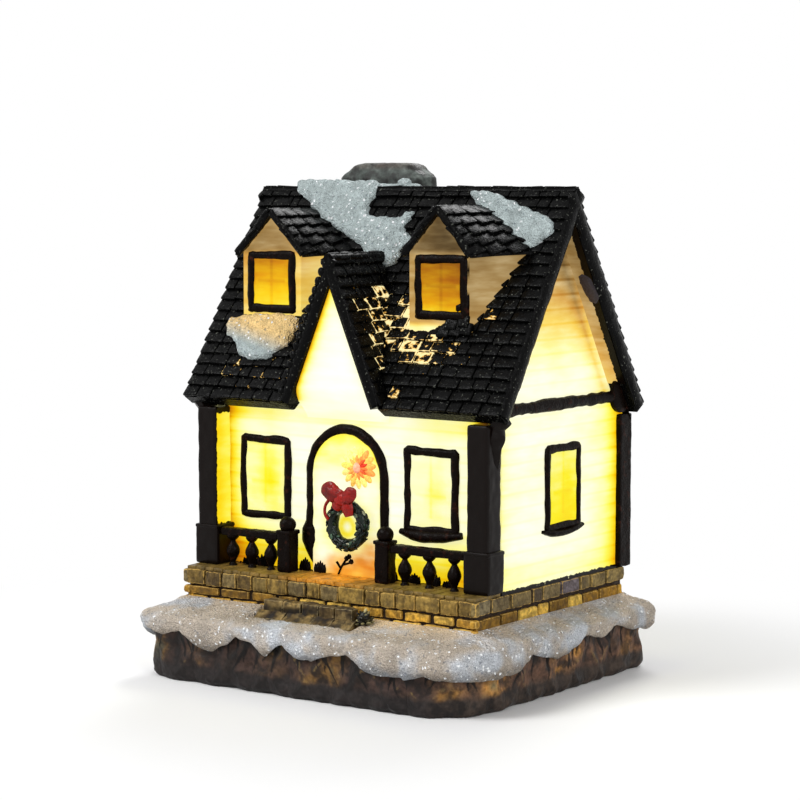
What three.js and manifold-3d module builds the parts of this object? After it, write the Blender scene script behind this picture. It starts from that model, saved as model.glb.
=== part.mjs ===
// A small resin winter house that glows from a button-cell light in its base.
// Millimetres, +Z up, the front door faces -Y, and the origin is the middle of the footprint.

import * as THREE from "three";
import { mergeVertices } from "three/addons/utils/BufferGeometryUtils.js";
import Module from "manifold-3d";

const wasm = await Module();
wasm.setup();

// Fits: the gap that a piece keeps to its seat, and the gap round a piece that slides or lifts off.
const SEAT = 0.2;
const RUN = 0.3;

// Rock base.
const BASE_WIDTH = 56.2;
const BASE_DEPTH = 50;
const ROCK_HEIGHT = 8.2;
const ROCK_CHAMFER = 0.8;
const ROCK_ROUGHNESS = 0.35;
const RADIUS_FRONT_RIGHT = 9;
const RADIUS_FRONT_LEFT = 5;
const RADIUS_REAR = 3.5;

// Snow lying on the rock, with drips that hang over its edge.
const SNOW_THICKNESS = 2.8;
const SNOW_EDGE = 1.1;
const SNOW_SHOULDER = 1.2;
const SNOW_SIDE_OVERHANG = 1.5;
const SNOW_END_OVERHANG = 1.1;
const DRIP_LENGTH = 2.2;
const DRIP_SWING = 1.2;
const DRIP_PITCH = 6.4;

// House body.
const HOUSE_WIDTH = 50.6;
const FRONT_WALL_Y = -11.2;
const REAR_WALL_Y = 21.3;
const WALL = 2.2;
const GABLE_INSET = 1.1;
const BEAM_Z = 40.2;
const BEAM_HEIGHT = 1.5;
const TRIM_DEPTH = 0.6;

// Brick plinth, porch floor and steps.
const PLINTH_TOP = 15;
const PORCH_DEPTH = 6.5;
const COPING_HEIGHT = 2.3;
const COPING_LIP = 0.35;
const BRICK_HEIGHT = 2.2;
const MORTAR = 0.5;
const MORTAR_DEPTH = 0.3;
const FLOOR_THICKNESS = 0.5;
const STEP_X = -1.3;
const STEP_WIDTH = 17;
const STEP_TREAD = 1.7;
const STEP_RISE = 2.55;
const STEP_COUNT = 2;
const STEP_TAPER = 1.3;

// Main roof: a ridge with a front slope and a slightly steeper rear slope.
const RIDGE_Y = 3.9;
const RIDGE_Z = 70.4;
const FRONT_EAVE_Y = -15.5;
const FRONT_EAVE_Z = 40;
const REAR_EAVE_Y = 23;
const REAR_EAVE_Z = 39;
const ROOF_THICKNESS = 2.4;
const VERGE_OVERHANG = 2.3;
const RIDGE_BLUNTING = 0.7;
const SHINGLE_ROWS = 20;
const SHINGLE_STEP = 0.35;

// Front gable over the door.
const GABLE_X = -0.6;
const GABLE_DROP = 9.2;
const GABLE_HALF_SPAN = 8.95;
const GABLE_ROOF_THICKNESS = 1.7;
const GABLE_OVERHANG = 0.5;
const GABLE_WALL_RECESS = 1.8;
const GABLE_WALL_THICKNESS = 1.5;
const GABLE_COVE = 4;

// Dormers: each middle's distance in from the house's side, the peak's drop below the ridge, the
// gable's rise, the wall's height, and the window's place across the wall and above the wall's foot.
const LEFT_DORMER_INSET = 8.5;
const LEFT_DORMER_HALF = 5.3;
const LEFT_DORMER_DROP = 4.3;
const LEFT_DORMER_RISE = 5.1;
const LEFT_DORMER_WALL = 9.1;
const LEFT_DORMER_SHIFT = 0;
const LEFT_DORMER_SILL = 0.2;
const RIGHT_DORMER_INSET = 11.9;
const RIGHT_DORMER_HALF = 4.9;
const RIGHT_DORMER_DROP = 3.7;
const RIGHT_DORMER_RISE = 5.2;
const RIGHT_DORMER_WALL = 11.3;
const RIGHT_DORMER_SHIFT = 0.5;
const RIGHT_DORMER_SILL = 1.9;
const DORMER_FLARE = 0.7;
const DORMER_ROOF = 1.1;
const DORMER_EAVE = 0.8;
const DORMER_STATIONS = 6;
const DORMER_WINDOW_WIDTH = 8.6;
const DORMER_WINDOW_HEIGHT = 8.9;

// Chimney on the rear slope.
const CHIMNEY_X = -10.4;
const CHIMNEY_Y = 12;
const CHIMNEY_WIDTH = 12.6;
const CHIMNEY_DEPTH = 6;
const CHIMNEY_RISE = 1.5;
const POT_WIDTH = 6.2;
const POT_DEPTH = 4;
const POT_RISE = 2.1;
const POT_SPREAD = 1.6;

// Corner posts.
const POST_WIDTH = 3.3;
const POST_DEPTH = 3.3;
const POST_FACE = 3.6;
const POST_COLLAR = 0.4;
const CORNER_BOARD = 2.6;
const BRACKET_RADIUS = 2.6;
const BRACKET_INSET = 0.4;

// Windows: the outer width and height of the frame, the height of its foot over the porch, and the
// front windows' places on the way from the door's edge to the post.
const FRAME_STROKE = 1.2;
const FRAME_DEPTH = 0.6;
const MULLION = 0.5;
const MULLION_DEPTH = 0.25;
const SILL_HEIGHT = 1.2;
const SILL_DEPTH = 1.2;
const SILL_EAR = 0.6;
const WINDOW_WIDTH = 9.1;
const WINDOW_HEIGHT = 12;
const WINDOW_FOOT = 6.9;
const WINDOW_LEFT_PLACE = 0.54;
const WINDOW_RIGHT_PLACE = 0.47;
const SIDE_WINDOW_Y = 3.9;
const REAR_WINDOW_X = 12;

// Front door.
const DOOR_X = -0.7;
const DOOR_WIDTH = 14.2;
const DOOR_HEIGHT = 21.3;
const DOOR_PANEL_DEPTH = 0.4;
const ROSETTE_RADIUS = 2.5;
const ROSETTE_PETALS = 8;
const PETAL_RADIUS = 0.95;
const PETAL_FLATNESS = 0.7;
const HEART_RADIUS = 1.15;
const ROSETTE_X = 1.6;
const ROSETTE_Z = 31;
const WREATH_X = 0.4;
const WREATH_Z = 23;
const WREATH_RADIUS = 2.8;
const WREATH_TUBE = 0.93;
const BOW_X = 0.2;
const BOW_Z = 27.3;
const BOW_SPAN = 6.6;
const BOW_RISE = 4.2;
const BOW_THICKNESS = 0.9;
const KNOT_RADIUS = 0.9;

// Porch railings.
const RAIL_Y = -14.7;
const RAIL_DEPTH = 1.6;
const RAIL_HEIGHT = 1.1;
const RAIL_TOP = 21;
const BALUSTER_RADIUS = 0.95;
const BALUSTER_COUNT = 3;
const NEWEL_WIDTH = 2.2;
const NEWEL_TOP = 21.4;
const NEWEL_BALL = 1.2;
const NEWEL_LEFT_X = -9.5;
const NEWEL_RIGHT_X = 7.7;
const SHRUB_X = 8.3;
const SHRUB_RADIUS = 1.5;

// Snow on the roof: patches on the front slope as [x, distance down from the ridge].
const ROOF_SNOW_THICKNESS = 1;
const SNOW_CENTRE = [
  [-20.5, 0.9], [-7, 0.9], [-4.2, 5.6], [1.8, 6], [3, 10.5], [1.2, 13.6], [-2.6, 13.5], [-5, 10],
  [-10.4, 6.4], [-16, 4],
];
const SNOW_RIGHT = [
  [10.3, 1.4], [14.3, 1.1], [19.6, 3.2], [25.6, 6], [25.4, 9.2], [22, 10.1], [18.4, 7.6], [14, 5.2],
];
const SNOW_LEFT = [
  [-22.6, 22.6], [-12.2, 22.6], [-11.3, 25.8], [-16.6, 30], [-23.4, 26.2], [-24, 23.4],
];
const RIDGE_SNOW_LEFT = -21.5;
const RIDGE_SNOW_RIGHT = -9.8;
const RIDGE_SNOW_DROP = 3;
const RIDGE_SNOW_RISE = 1.4;

// Battery light in the base.
const UNIT_Y = 5.1;
const UNIT_LENGTH = 36;
const UNIT_WIDTH = 27;
const UNIT_WALL = 1.4;
const UNIT_INNER_WALL = 1;
const PLATE_RECESS = 1.6;
const PLATE_THICKNESS = 1.6;
const PLATE_EAR = 4;
const COVER_THICKNESS = 1.4;
const CELL_DIAMETER = 11.6;
const CELL_THICKNESS = 5.4;
const CELL_COUNT = 3;
const CELL_GAP = 0.05;
const CONTACT_THICKNESS = 0.4;
const SPRING_DEPTH = 1.5;
const BAY_WALL_DROP = 2.4;
const DOOR_PLATE = 1;
const DOOR_LAP = 1;
const DOOR_RIB = 0.7;
const DOOR_EAR = 6.4;
const SCREW_RADIUS = 0.9;
const SCREW_HEAD_RADIUS = 1.7;
const SCREW_HEAD_HEIGHT = 0.8;
const SCREW_LENGTH = 5.2;
const BOSS_WALL = 1.2;
const BOARD_LENGTH = 21;
const BOARD_MARGIN = 1.3;
const BOARD_THICKNESS = 1;
const SWITCH_LENGTH = 8.6;
const SWITCH_WIDTH = 4;
const SWITCH_HEIGHT = 4;
const SWITCH_X = 6;
const KNOB_LENGTH = 2.2;
const KNOB_WIDTH = 1.8;
const KNOB_STAND = 1.1;
const KNOB_TRAVEL = 2.4;
const KNOB_GROOVE = 0.3;
const LED_X = -1.5;
const LED_RADIUS = 2.5;
const LED_HEIGHT = 8.6;
const LED_FLANGE = 0.4;
const LED_LEAD = 0.5;
const LED_PITCH = 2.54;
const WIRE_RADIUS = 0.45;

// Places worked out from the driving sizes.
const HOUSE_SIDE = HOUSE_WIDTH / 2;
const DORMERS = [
  {
    side: "left", x: LEFT_DORMER_INSET - HOUSE_SIDE, halfWidth: LEFT_DORMER_HALF, drop: LEFT_DORMER_DROP,
    rise: LEFT_DORMER_RISE, wall: LEFT_DORMER_WALL, shift: LEFT_DORMER_SHIFT, sill: LEFT_DORMER_SILL,
  },
  {
    side: "right", x: HOUSE_SIDE - RIGHT_DORMER_INSET, halfWidth: RIGHT_DORMER_HALF, drop: RIGHT_DORMER_DROP,
    rise: RIGHT_DORMER_RISE, wall: RIGHT_DORMER_WALL, shift: RIGHT_DORMER_SHIFT, sill: RIGHT_DORMER_SILL,
  },
];
const PLINTH_FRONT_Y = FRONT_WALL_Y - PORCH_DEPTH;
const PORCH_Z = PLINTH_TOP + FLOOR_THICKNESS;
const SNOW_TOP = ROCK_HEIGHT + SNOW_THICKNESS;
const ROOF_SIDE = HOUSE_SIDE + VERGE_OVERHANG;
const FAR = 2 * (BASE_WIDTH + RIDGE_Z);

// A closed geometry as a manifold solid, whichever way its faces were wound.
function solidOf(geometry) {
  const bare = geometry.clone();
  bare.deleteAttribute("normal");
  bare.deleteAttribute("uv");
  const merged = mergeVertices(bare, 1e-4);
  const corner = merged.index.array;
  const kept = [];
  for (let i = 0; i < corner.length; i += 3) {
    const [a, b, c] = [corner[i], corner[i + 1], corner[i + 2]];
    if (a !== b && b !== c && c !== a) kept.push(a, b, c);
  }
  const build = (triangles) =>
    new wasm.Manifold(
      new wasm.Mesh({
        numProp: 3,
        vertProperties: new Float32Array(merged.attributes.position.array),
        triVerts: new Uint32Array(triangles),
      }),
    );
  const solid = build(kept);
  return solid.volume() > 0 ? solid : build(kept.reverse());
}

function geometryOf(solid) {
  const mesh = solid.getMesh();
  const indexed = new THREE.BufferGeometry();
  indexed.setAttribute("position", new THREE.BufferAttribute(new Float32Array(mesh.vertProperties), 3));
  indexed.setIndex(new THREE.BufferAttribute(new Uint32Array(mesh.triVerts), 1));
  const flat = indexed.toNonIndexed();
  flat.computeVertexNormals();
  return flat;
}

const unite = (solids) => solids.reduce((sum, next) => sum.add(next));

function block(x0, x1, y0, y1, z0, z1) {
  const geometry = new THREE.BoxGeometry(x1 - x0, y1 - y0, z1 - z0);
  geometry.translate((x0 + x1) / 2, (y0 + y1) / 2, (z0 + z1) / 2);
  return solidOf(geometry);
}

// An outline drawn in two of the axes and extruded along the third.
function extruded(outline, depth, right, up, along, offset) {
  const shape = new THREE.Shape(outline.map(([a, b]) => new THREE.Vector2(a, b)));
  const geometry = new THREE.ExtrudeGeometry(shape, { depth, bevelEnabled: false, steps: 1 });
  geometry.applyMatrix4(new THREE.Matrix4().makeBasis(right, up, along));
  geometry.translate(offset.x, offset.y, offset.z);
  return solidOf(geometry);
}

const X = new THREE.Vector3(1, 0, 0);
const Y = new THREE.Vector3(0, 1, 0);
const Z = new THREE.Vector3(0, 0, 1);
const BACK = new THREE.Vector3(0, -1, 0);

const prismXY = (outline, z0, z1) => extruded(outline, z1 - z0, X, Y, Z, new THREE.Vector3(0, 0, z0));
const prismXZ = (outline, y0, y1) => extruded(outline, y1 - y0, X, Z, BACK, new THREE.Vector3(0, y1, 0));
const prismYZ = (outline, x0, x1) => extruded(outline, x1 - x0, Y, Z, X, new THREE.Vector3(x0, 0, 0));

// A profile of [radius, height] pairs turned round a vertical axis at x, y.
function turned(profile, sides, x, y) {
  const geometry = new THREE.LatheGeometry(profile.map(([r, z]) => new THREE.Vector2(r, z)), sides);
  geometry.rotateX(Math.PI / 2);
  geometry.translate(x, y, 0);
  return solidOf(geometry);
}

const rod = (radius, z0, z1, sides, x, y) =>
  turned([[0, z0], [radius, z0], [radius, z1], [0, z1]], sides, x, y);

// A skin over closed rings of points. Its ends are filled flat, as seen in the two axes of capPlane,
// or joined to each other when there is no capPlane.
function skinned(given, capPlane) {
  const flatten = (ring) => ring.map((point) => new THREE.Vector2(...capPlane.map((axis) => point[axis])));
  const clockwise = capPlane && THREE.ShapeUtils.isClockWise(flatten(given[0]));
  const rings = clockwise ? given.map((ring) => [...ring].reverse()) : given;
  const count = rings[0].length;
  const index = [];
  const spans = capPlane ? rings.length - 1 : rings.length;
  for (let r = 0; r < spans; r++) {
    const here = r * count;
    const next = ((r + 1) % rings.length) * count;
    for (let p = 0; p < count; p++) {
      const q = (p + 1) % count;
      index.push(here + p, here + q, next + q, here + p, next + q, next + p);
    }
  }
  if (capPlane) {
    const far = (rings.length - 1) * count;
    for (const [a, b, c] of THREE.ShapeUtils.triangulateShape(flatten(rings[0]), [])) {
      index.push(a, c, b, far + a, far + b, far + c);
    }
  }
  const geometry = new THREE.BufferGeometry();
  geometry.setAttribute("position", new THREE.Float32BufferAttribute(rings.flat(2), 3));
  geometry.setIndex(index);
  return solidOf(geometry);
}

// Stations round the base outline: place, outward direction and distance along the outline.
function baseStations(spacing) {
  const [w, d] = [BASE_WIDTH / 2, BASE_DEPTH / 2];
  const corners = [
    { x: w, y: -d, radius: RADIUS_FRONT_RIGHT, turn: -Math.PI / 2 },
    { x: w, y: d, radius: RADIUS_REAR, turn: 0 },
    { x: -w, y: d, radius: RADIUS_REAR, turn: Math.PI / 2 },
    { x: -w, y: -d, radius: RADIUS_FRONT_LEFT, turn: Math.PI },
  ];
  const points = [];
  corners.forEach((corner, k) => {
    const centre = {
      x: corner.x - Math.sign(corner.x) * corner.radius,
      y: corner.y - Math.sign(corner.y) * corner.radius,
    };
    const arcSteps = Math.max(3, Math.round((corner.radius * Math.PI) / 2 / spacing));
    for (let i = 0; i <= arcSteps; i++) {
      const angle = corner.turn + (i / arcSteps) * (Math.PI / 2);
      const [nx, ny] = [Math.cos(angle), Math.sin(angle)];
      points.push({ x: centre.x + corner.radius * nx, y: centre.y + corner.radius * ny, nx, ny });
    }
    const next = corners[(k + 1) % corners.length];
    const from = points[points.length - 1];
    const to = {
      x: next.x - Math.sign(next.x) * next.radius + next.radius * from.nx,
      y: next.y - Math.sign(next.y) * next.radius + next.radius * from.ny,
    };
    const steps = Math.round(Math.hypot(to.x - from.x, to.y - from.y) / spacing);
    for (let i = 1; i < steps; i++) {
      const t = i / steps;
      points.push({ ...from, x: from.x + t * (to.x - from.x), y: from.y + t * (to.y - from.y) });
    }
  });
  let run = 0;
  points.forEach((point, i) => {
    const before = points[Math.max(i - 1, 0)];
    run += Math.hypot(point.x - before.x, point.y - before.y);
    point.run = run;
  });
  const round = run + Math.hypot(points[0].x - points.at(-1).x, points[0].y - points.at(-1).y);
  points.forEach((point) => (point.turns = point.run / round));
  return { points, round };
}

const { points: stations, round: baseRound } = baseStations(2.2);
const wave = (turns, count, shift) => Math.sin(2 * Math.PI * count * turns + shift);

// The light's box and flange, as boxes grown by a clearance.
const unitBox = (grow, z0, z1) =>
  block(
    -UNIT_LENGTH / 2 - grow, UNIT_LENGTH / 2 + grow,
    UNIT_Y - UNIT_WIDTH / 2 - grow, UNIT_Y + UNIT_WIDTH / 2 + grow, z0, z1,
  );
const PLATE_TOP = PLATE_RECESS + PLATE_THICKNESS;
const PLATE_SIDE = UNIT_LENGTH / 2 + PLATE_EAR;
const UNIT_SCREW_X = PLATE_SIDE - PLATE_EAR / 2;
const plateBox = (grow, z0, z1) =>
  block(
    -PLATE_SIDE - grow, PLATE_SIDE + grow,
    UNIT_Y - UNIT_WIDTH / 2 - grow, UNIT_Y + UNIT_WIDTH / 2 + grow, z0, z1,
  );

function rockBase() {
  const levels = [
    [0, -ROCK_CHAMFER],
    [ROCK_CHAMFER, 0],
    [ROCK_HEIGHT / 2, -ROCK_CHAMFER / 4],
    [ROCK_HEIGHT, 0],
  ];
  const rings = levels.map(([z, outset], level) =>
    stations.map(({ x, y, nx, ny, turns }) => {
      const rough = (ROCK_ROUGHNESS / 2) * (wave(turns, 17, 2 * level) + wave(turns, 29, 4 * level) - 2);
      return [x + (outset + rough) * nx, y + (outset + rough) * ny, z];
    }),
  );
  const bores = [-1, 1].map((side) =>
    rod(SCREW_RADIUS + SEAT, 0, PLATE_RECESS + SCREW_LENGTH + SEAT, 16, side * UNIT_SCREW_X, UNIT_Y),
  );
  const pocket = unite([plateBox(RUN, -1, PLATE_TOP), unitBox(RUN, 0, FAR), ...bores]);
  return skinned(rings, [0, 1]).subtract(pocket);
}

const plinthBlock = (grow, z0, z1) =>
  block(-HOUSE_SIDE - grow, HOUSE_SIDE + grow, PLINTH_FRONT_Y - grow, REAR_WALL_Y + grow, z0, z1);

// Treads down from the porch, each a step lower and a little wider than the one above.
function stepBlocks(grow) {
  const back = PLINTH_FRONT_Y - COPING_LIP - SEAT;
  return unite(
    Array.from({ length: STEP_COUNT }, (_, i) => {
      const half = STEP_WIDTH / 2 - (STEP_COUNT - 1 - i) * (STEP_TAPER / 2) + grow;
      const front = back - (i + 1) * STEP_TREAD - grow;
      const top = PLINTH_TOP - (i + 1) * STEP_RISE + grow;
      return block(STEP_X - half, STEP_X + half, front, back + grow, ROCK_HEIGHT - grow, top);
    }),
  );
}

// The snow slopes up from the base's edge to the plinth, and its outer side hangs down in drips.
function baseSnow() {
  const drips = Math.round(baseRound / DRIP_PITCH);
  const clamp = THREE.MathUtils.clamp;
  const rings = stations.map(({ x, y, nx, ny, turns }) => {
    const out = Math.abs(nx) * SNOW_SIDE_OVERHANG + Math.abs(ny) * SNOW_END_OVERHANG;
    const swing = DRIP_SWING * wave(turns, drips, 0) * (0.7 + 0.3 * wave(turns, 5, 1));
    const tip = ROCK_HEIGHT - DRIP_LENGTH - swing;
    const edge = ROCK_HEIGHT + SNOW_EDGE;
    const outer = [
      [SEAT, ROCK_HEIGHT],
      [SEAT, tip],
      [(SEAT + out) / 2, tip - SNOW_SHOULDER / 4],
      [out, tip + SNOW_SHOULDER],
      [out, edge - SNOW_SHOULDER],
      [out - SNOW_SHOULDER, edge],
    ].map(([outset, z]) => [x + outset * nx, y + outset * ny, z]);
    const wall = [clamp(x, -HOUSE_SIDE, HOUSE_SIDE), clamp(y, PLINTH_FRONT_Y, REAR_WALL_Y)];
    return [[...wall, ROCK_HEIGHT], ...outer, [...wall, SNOW_TOP]];
  });
  return skinned(rings)
    .subtract(plinthBlock(COPING_LIP + SEAT, ROCK_HEIGHT - 1, FAR))
    .subtract(stepBlocks(SEAT));
}

// Courses from the top down: coping, then bricks parted by set-back mortar.
function brickPlinth() {
  const courses = [];
  let top = PLINTH_TOP;
  const lay = (height, outset) => {
    const bottom = Math.max(top - height, ROCK_HEIGHT);
    if (bottom < top) courses.push(plinthBlock(outset, bottom, top));
    top = bottom;
  };
  lay(COPING_HEIGHT, COPING_LIP);
  while (top > ROCK_HEIGHT) {
    lay(MORTAR, -MORTAR_DEPTH);
    lay(BRICK_HEIGHT, 0);
  }
  return unite(courses).subtract(unitBox(RUN, 0, FAR));
}

// Height of each roof slope's upper face, and of its lower face, over a place y.
const frontPitch = (RIDGE_Z - FRONT_EAVE_Z) / (RIDGE_Y - FRONT_EAVE_Y);
const rearPitch = (RIDGE_Z - REAR_EAVE_Z) / (REAR_EAVE_Y - RIDGE_Y);
const upright = (pitch) => Math.sqrt(1 + pitch * pitch);
const frontTop = (y) => RIDGE_Z - (RIDGE_Y - y) * frontPitch;
const frontUnder = (y) => frontTop(y) - ROOF_THICKNESS * upright(frontPitch);
const rearUnder = (y) => RIDGE_Z - (y - RIDGE_Y) * rearPitch - ROOF_THICKNESS * upright(rearPitch);
const frontTopY = (z) => RIDGE_Y - (RIDGE_Z - z) / frontPitch;
const pitchSum = frontPitch + rearPitch;
const apexUnderY = RIDGE_Y + (ROOF_THICKNESS * (upright(frontPitch) - upright(rearPitch))) / pitchSum;

// A point of the front (side -1) or rear (side 1) slope: distance down from the ridge, and height off it.
function onSlope(side, down, off) {
  const pitch = side < 0 ? frontPitch : rearPitch;
  const [c, s] = [1 / upright(pitch), pitch / upright(pitch)];
  return [RIDGE_Y + side * (down * c + off * s), RIDGE_Z - down * s + off * c];
}
const slopeLength = (side) =>
  side < 0
    ? Math.hypot(RIDGE_Y - FRONT_EAVE_Y, RIDGE_Z - FRONT_EAVE_Z)
    : Math.hypot(REAR_EAVE_Y - RIDGE_Y, RIDGE_Z - REAR_EAVE_Z);

// Saw-tooth rows: each row starts a step below the butt of the row above it.
function shingleLine(side) {
  const line = [];
  const length = slopeLength(side);
  for (let row = 0; row < SHINGLE_ROWS; row++) {
    const start = Math.max(RIDGE_BLUNTING, (row / SHINGLE_ROWS) * length);
    line.push(onSlope(side, start, row ? -SHINGLE_STEP : 0));
    line.push(onSlope(side, ((row + 1) / SHINGLE_ROWS) * length, 0));
  }
  return line;
}

// The roof's underside from the front eave's edge to the rear one, a drop below the roof itself.
const roofUnderside = (drop) =>
  [
    onSlope(-1, slopeLength(-1), 0),
    onSlope(-1, slopeLength(-1), -ROOF_THICKNESS),
    [apexUnderY, frontUnder(apexUnderY)],
    onSlope(1, slopeLength(1), -ROOF_THICKNESS),
    onSlope(1, slopeLength(1), 0),
  ].map(([y, z]) => [y, z - drop]);

const roofProfile = () => [
  ...shingleLine(-1).reverse(),
  ...shingleLine(1).slice(0, -1),
  ...roofUnderside(0).slice(1).reverse(),
];

// The front gable's triangle, narrowed all round by a thickness, with its legs carried down to foot.
const gablePitch = (RIDGE_Z - GABLE_DROP - FRONT_EAVE_Z) / GABLE_HALF_SPAN;
function gableOutline(inset, foot) {
  const drop = inset * upright(gablePitch);
  const half = GABLE_HALF_SPAN - drop / gablePitch - Math.max(0, foot - FRONT_EAVE_Z) / gablePitch;
  const outline = [
    [GABLE_X - half, foot],
    [GABLE_X + half, foot],
    [GABLE_X, RIDGE_Z - GABLE_DROP - drop],
  ];
  if (foot < FRONT_EAVE_Z) {
    outline.splice(2, 0, [GABLE_X + half, FRONT_EAVE_Z]);
    outline.push([GABLE_X - half, FRONT_EAVE_Z]);
  }
  return outline;
}
const GABLE_FRONT_Y = FRONT_EAVE_Y - GABLE_OVERHANG;

// All the room under the main roof, a gap below it.
const underRoof = (gap) =>
  prismYZ(
    [[REAR_EAVE_Y, 0], [FRONT_EAVE_Y, 0], ...roofUnderside(gap * upright(rearPitch))],
    -ROOF_SIDE, ROOF_SIDE,
  );

function mainRoof() {
  const cut = prismXZ(gableOutline(-SEAT, 0), GABLE_FRONT_Y - FAR, RIDGE_Y);
  return prismYZ(roofProfile(), -ROOF_SIDE, ROOF_SIDE).subtract(cut);
}

const GABLE_FOOT = FRONT_EAVE_Z - SHINGLE_STEP;
function frontGableRoof() {
  return prismXZ(gableOutline(0, GABLE_FOOT), GABLE_FRONT_Y, RIDGE_Y)
    .subtract(prismXZ(gableOutline(GABLE_ROOF_THICKNESS, GABLE_FOOT - 1), GABLE_FRONT_Y - 1, FAR))
    .subtract(underRoof(0));
}

// The gable's wall stands forward of the house wall and curves back to it under the eave.
function frontGableWall() {
  const face = GABLE_FRONT_Y + GABLE_WALL_RECESS;
  const back = face + GABLE_WALL_THICKNESS;
  const seat = FRONT_WALL_Y - SEAT;
  const foot = FRONT_EAVE_Z - GABLE_COVE / 2;
  const side = [
    [face, RIDGE_Z], [face, FRONT_EAVE_Z + GABLE_COVE / 2], [(face + seat) / 2, FRONT_EAVE_Z],
    [seat, foot], [seat, FRONT_EAVE_Z + 1], [back, FRONT_EAVE_Z + GABLE_COVE], [back, RIDGE_Z],
  ];
  return prismYZ(side, -ROOF_SIDE, ROOF_SIDE).intersect(
    prismXZ(gableOutline(GABLE_ROOF_THICKNESS + SEAT, 0), GABLE_FRONT_Y, RIDGE_Y),
  );
}

// The hollow body: four walls with a gable at each end, open below for the light and rebated round it.
function houseWalls() {
  const below = underRoof(SEAT);
  const side = HOUSE_SIDE - GABLE_INSET;
  const lower = block(-HOUSE_SIDE, HOUSE_SIDE, FRONT_WALL_Y, REAR_WALL_Y, PLINTH_TOP, BEAM_Z);
  const gable = block(-side, side, FRONT_EAVE_Y, REAR_WALL_Y, BEAM_Z - SEAT, RIDGE_Z);
  const inFront = FRONT_WALL_Y + WALL;
  const inRear = REAR_WALL_Y - WALL;
  const hollow = prismYZ(
    [
      [inFront, 0], [inRear, 0], [inRear, rearUnder(inRear) - SEAT - WALL * upright(rearPitch)],
      [apexUnderY, frontUnder(apexUnderY) - SEAT - WALL * upright(rearPitch)],
      [inFront, frontUnder(inFront) - SEAT - WALL * upright(frontPitch)],
    ],
    GABLE_INSET + WALL - HOUSE_SIDE, HOUSE_SIDE - GABLE_INSET - WALL,
  );
  const light = prismXZ(gableOutline(GABLE_ROOF_THICKNESS + WALL, FRONT_EAVE_Z + 1), FRONT_EAVE_Y, RIDGE_Y);
  const porchGable = prismXZ(gableOutline(0, 0), GABLE_FRONT_Y, FRONT_WALL_Y);
  const rebate = unitBox(RUN, 0, COVER_TOP + RUN);
  return lower.add(gable).intersect(below).subtract(unite([hollow, light, porchGable, rebate]));
}

// Half width of a dormer, which widens towards the back, and its section at a place y.
function dormerPlaces(dormer) {
  const peak = RIDGE_Z - dormer.drop;
  const eave = peak - dormer.rise;
  return { peak, eave, foot: eave - dormer.wall, front: frontTopY(eave - dormer.wall) };
}
const dormerHalf = (dormer, y) =>
  dormer.halfWidth + DORMER_FLARE * Math.max(0, y - dormerPlaces(dormer).front);
const dormerEave = (dormer, y) =>
  dormerPlaces(dormer).eave - (DORMER_EAVE * dormer.rise) / dormerHalf(dormer, y);
const dormerStations = (from) =>
  Array.from({ length: DORMER_STATIONS + 1 }, (_, i) => from + (i / DORMER_STATIONS) * (RIDGE_Y - from));
const aboveSlope = (gap) =>
  prismYZ(
    [
      onSlope(-1, -1, gap), onSlope(-1, slopeLength(-1), gap),
      [FRONT_EAVE_Y - FAR, FRONT_EAVE_Z], [FRONT_EAVE_Y - FAR, RIDGE_Z + FAR], [RIDGE_Y, RIDGE_Z + FAR],
    ],
    -ROOF_SIDE, ROOF_SIDE,
  );

function dormerWalls(dormer) {
  const { peak, eave, foot, front } = dormerPlaces(dormer);
  const rings = dormerStations(front).map((y) => {
    const half = dormerHalf(dormer, y);
    return [
      [dormer.x - half, y, foot - ROOF_THICKNESS], [dormer.x + half, y, foot - ROOF_THICKNESS],
      [dormer.x + half, y, eave - RUN], [dormer.x, y, peak - RUN], [dormer.x - half, y, eave - RUN],
    ];
  });
  return skinned(rings, [0, 2]).intersect(aboveSlope(SEAT));
}

// A dormer's roof, filled down to its eaves and grown by a gap.
function dormerRoofShape(dormer, gap) {
  const { peak, front } = dormerPlaces(dormer);
  const rings = [front - DORMER_EAVE - gap, ...dormerStations(front)].map((y) => {
    const half = dormerHalf(dormer, y) + DORMER_EAVE + gap;
    const low = dormerEave(dormer, y) - gap;
    return [
      [dormer.x - half, y, low], [dormer.x + half, y, low],
      [dormer.x + half, y, low + DORMER_ROOF / 2 + 2 * gap],
      [dormer.x, y, peak + DORMER_ROOF + 2 * gap],
      [dormer.x - half, y, low + DORMER_ROOF / 2 + 2 * gap],
    ];
  });
  return skinned(rings, [0, 2]).intersect(aboveSlope(SEAT - gap));
}

// The roof leaves room under it for the dormer's walls.
function dormerRoof(dormer) {
  const { peak, front } = dormerPlaces(dormer);
  const rings = [front - FAR, ...dormerStations(front)].map((y) => {
    const half = dormerHalf(dormer, y) + DORMER_EAVE;
    const low = dormerEave(dormer, y);
    return [
      [dormer.x - half, y, 0], [dormer.x + half, y, 0], [dormer.x + half, y, low],
      [dormer.x, y, peak], [dormer.x - half, y, low],
    ];
  });
  return dormerRoofShape(dormer, 0).subtract(skinned(rings, [0, 2]));
}

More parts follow.
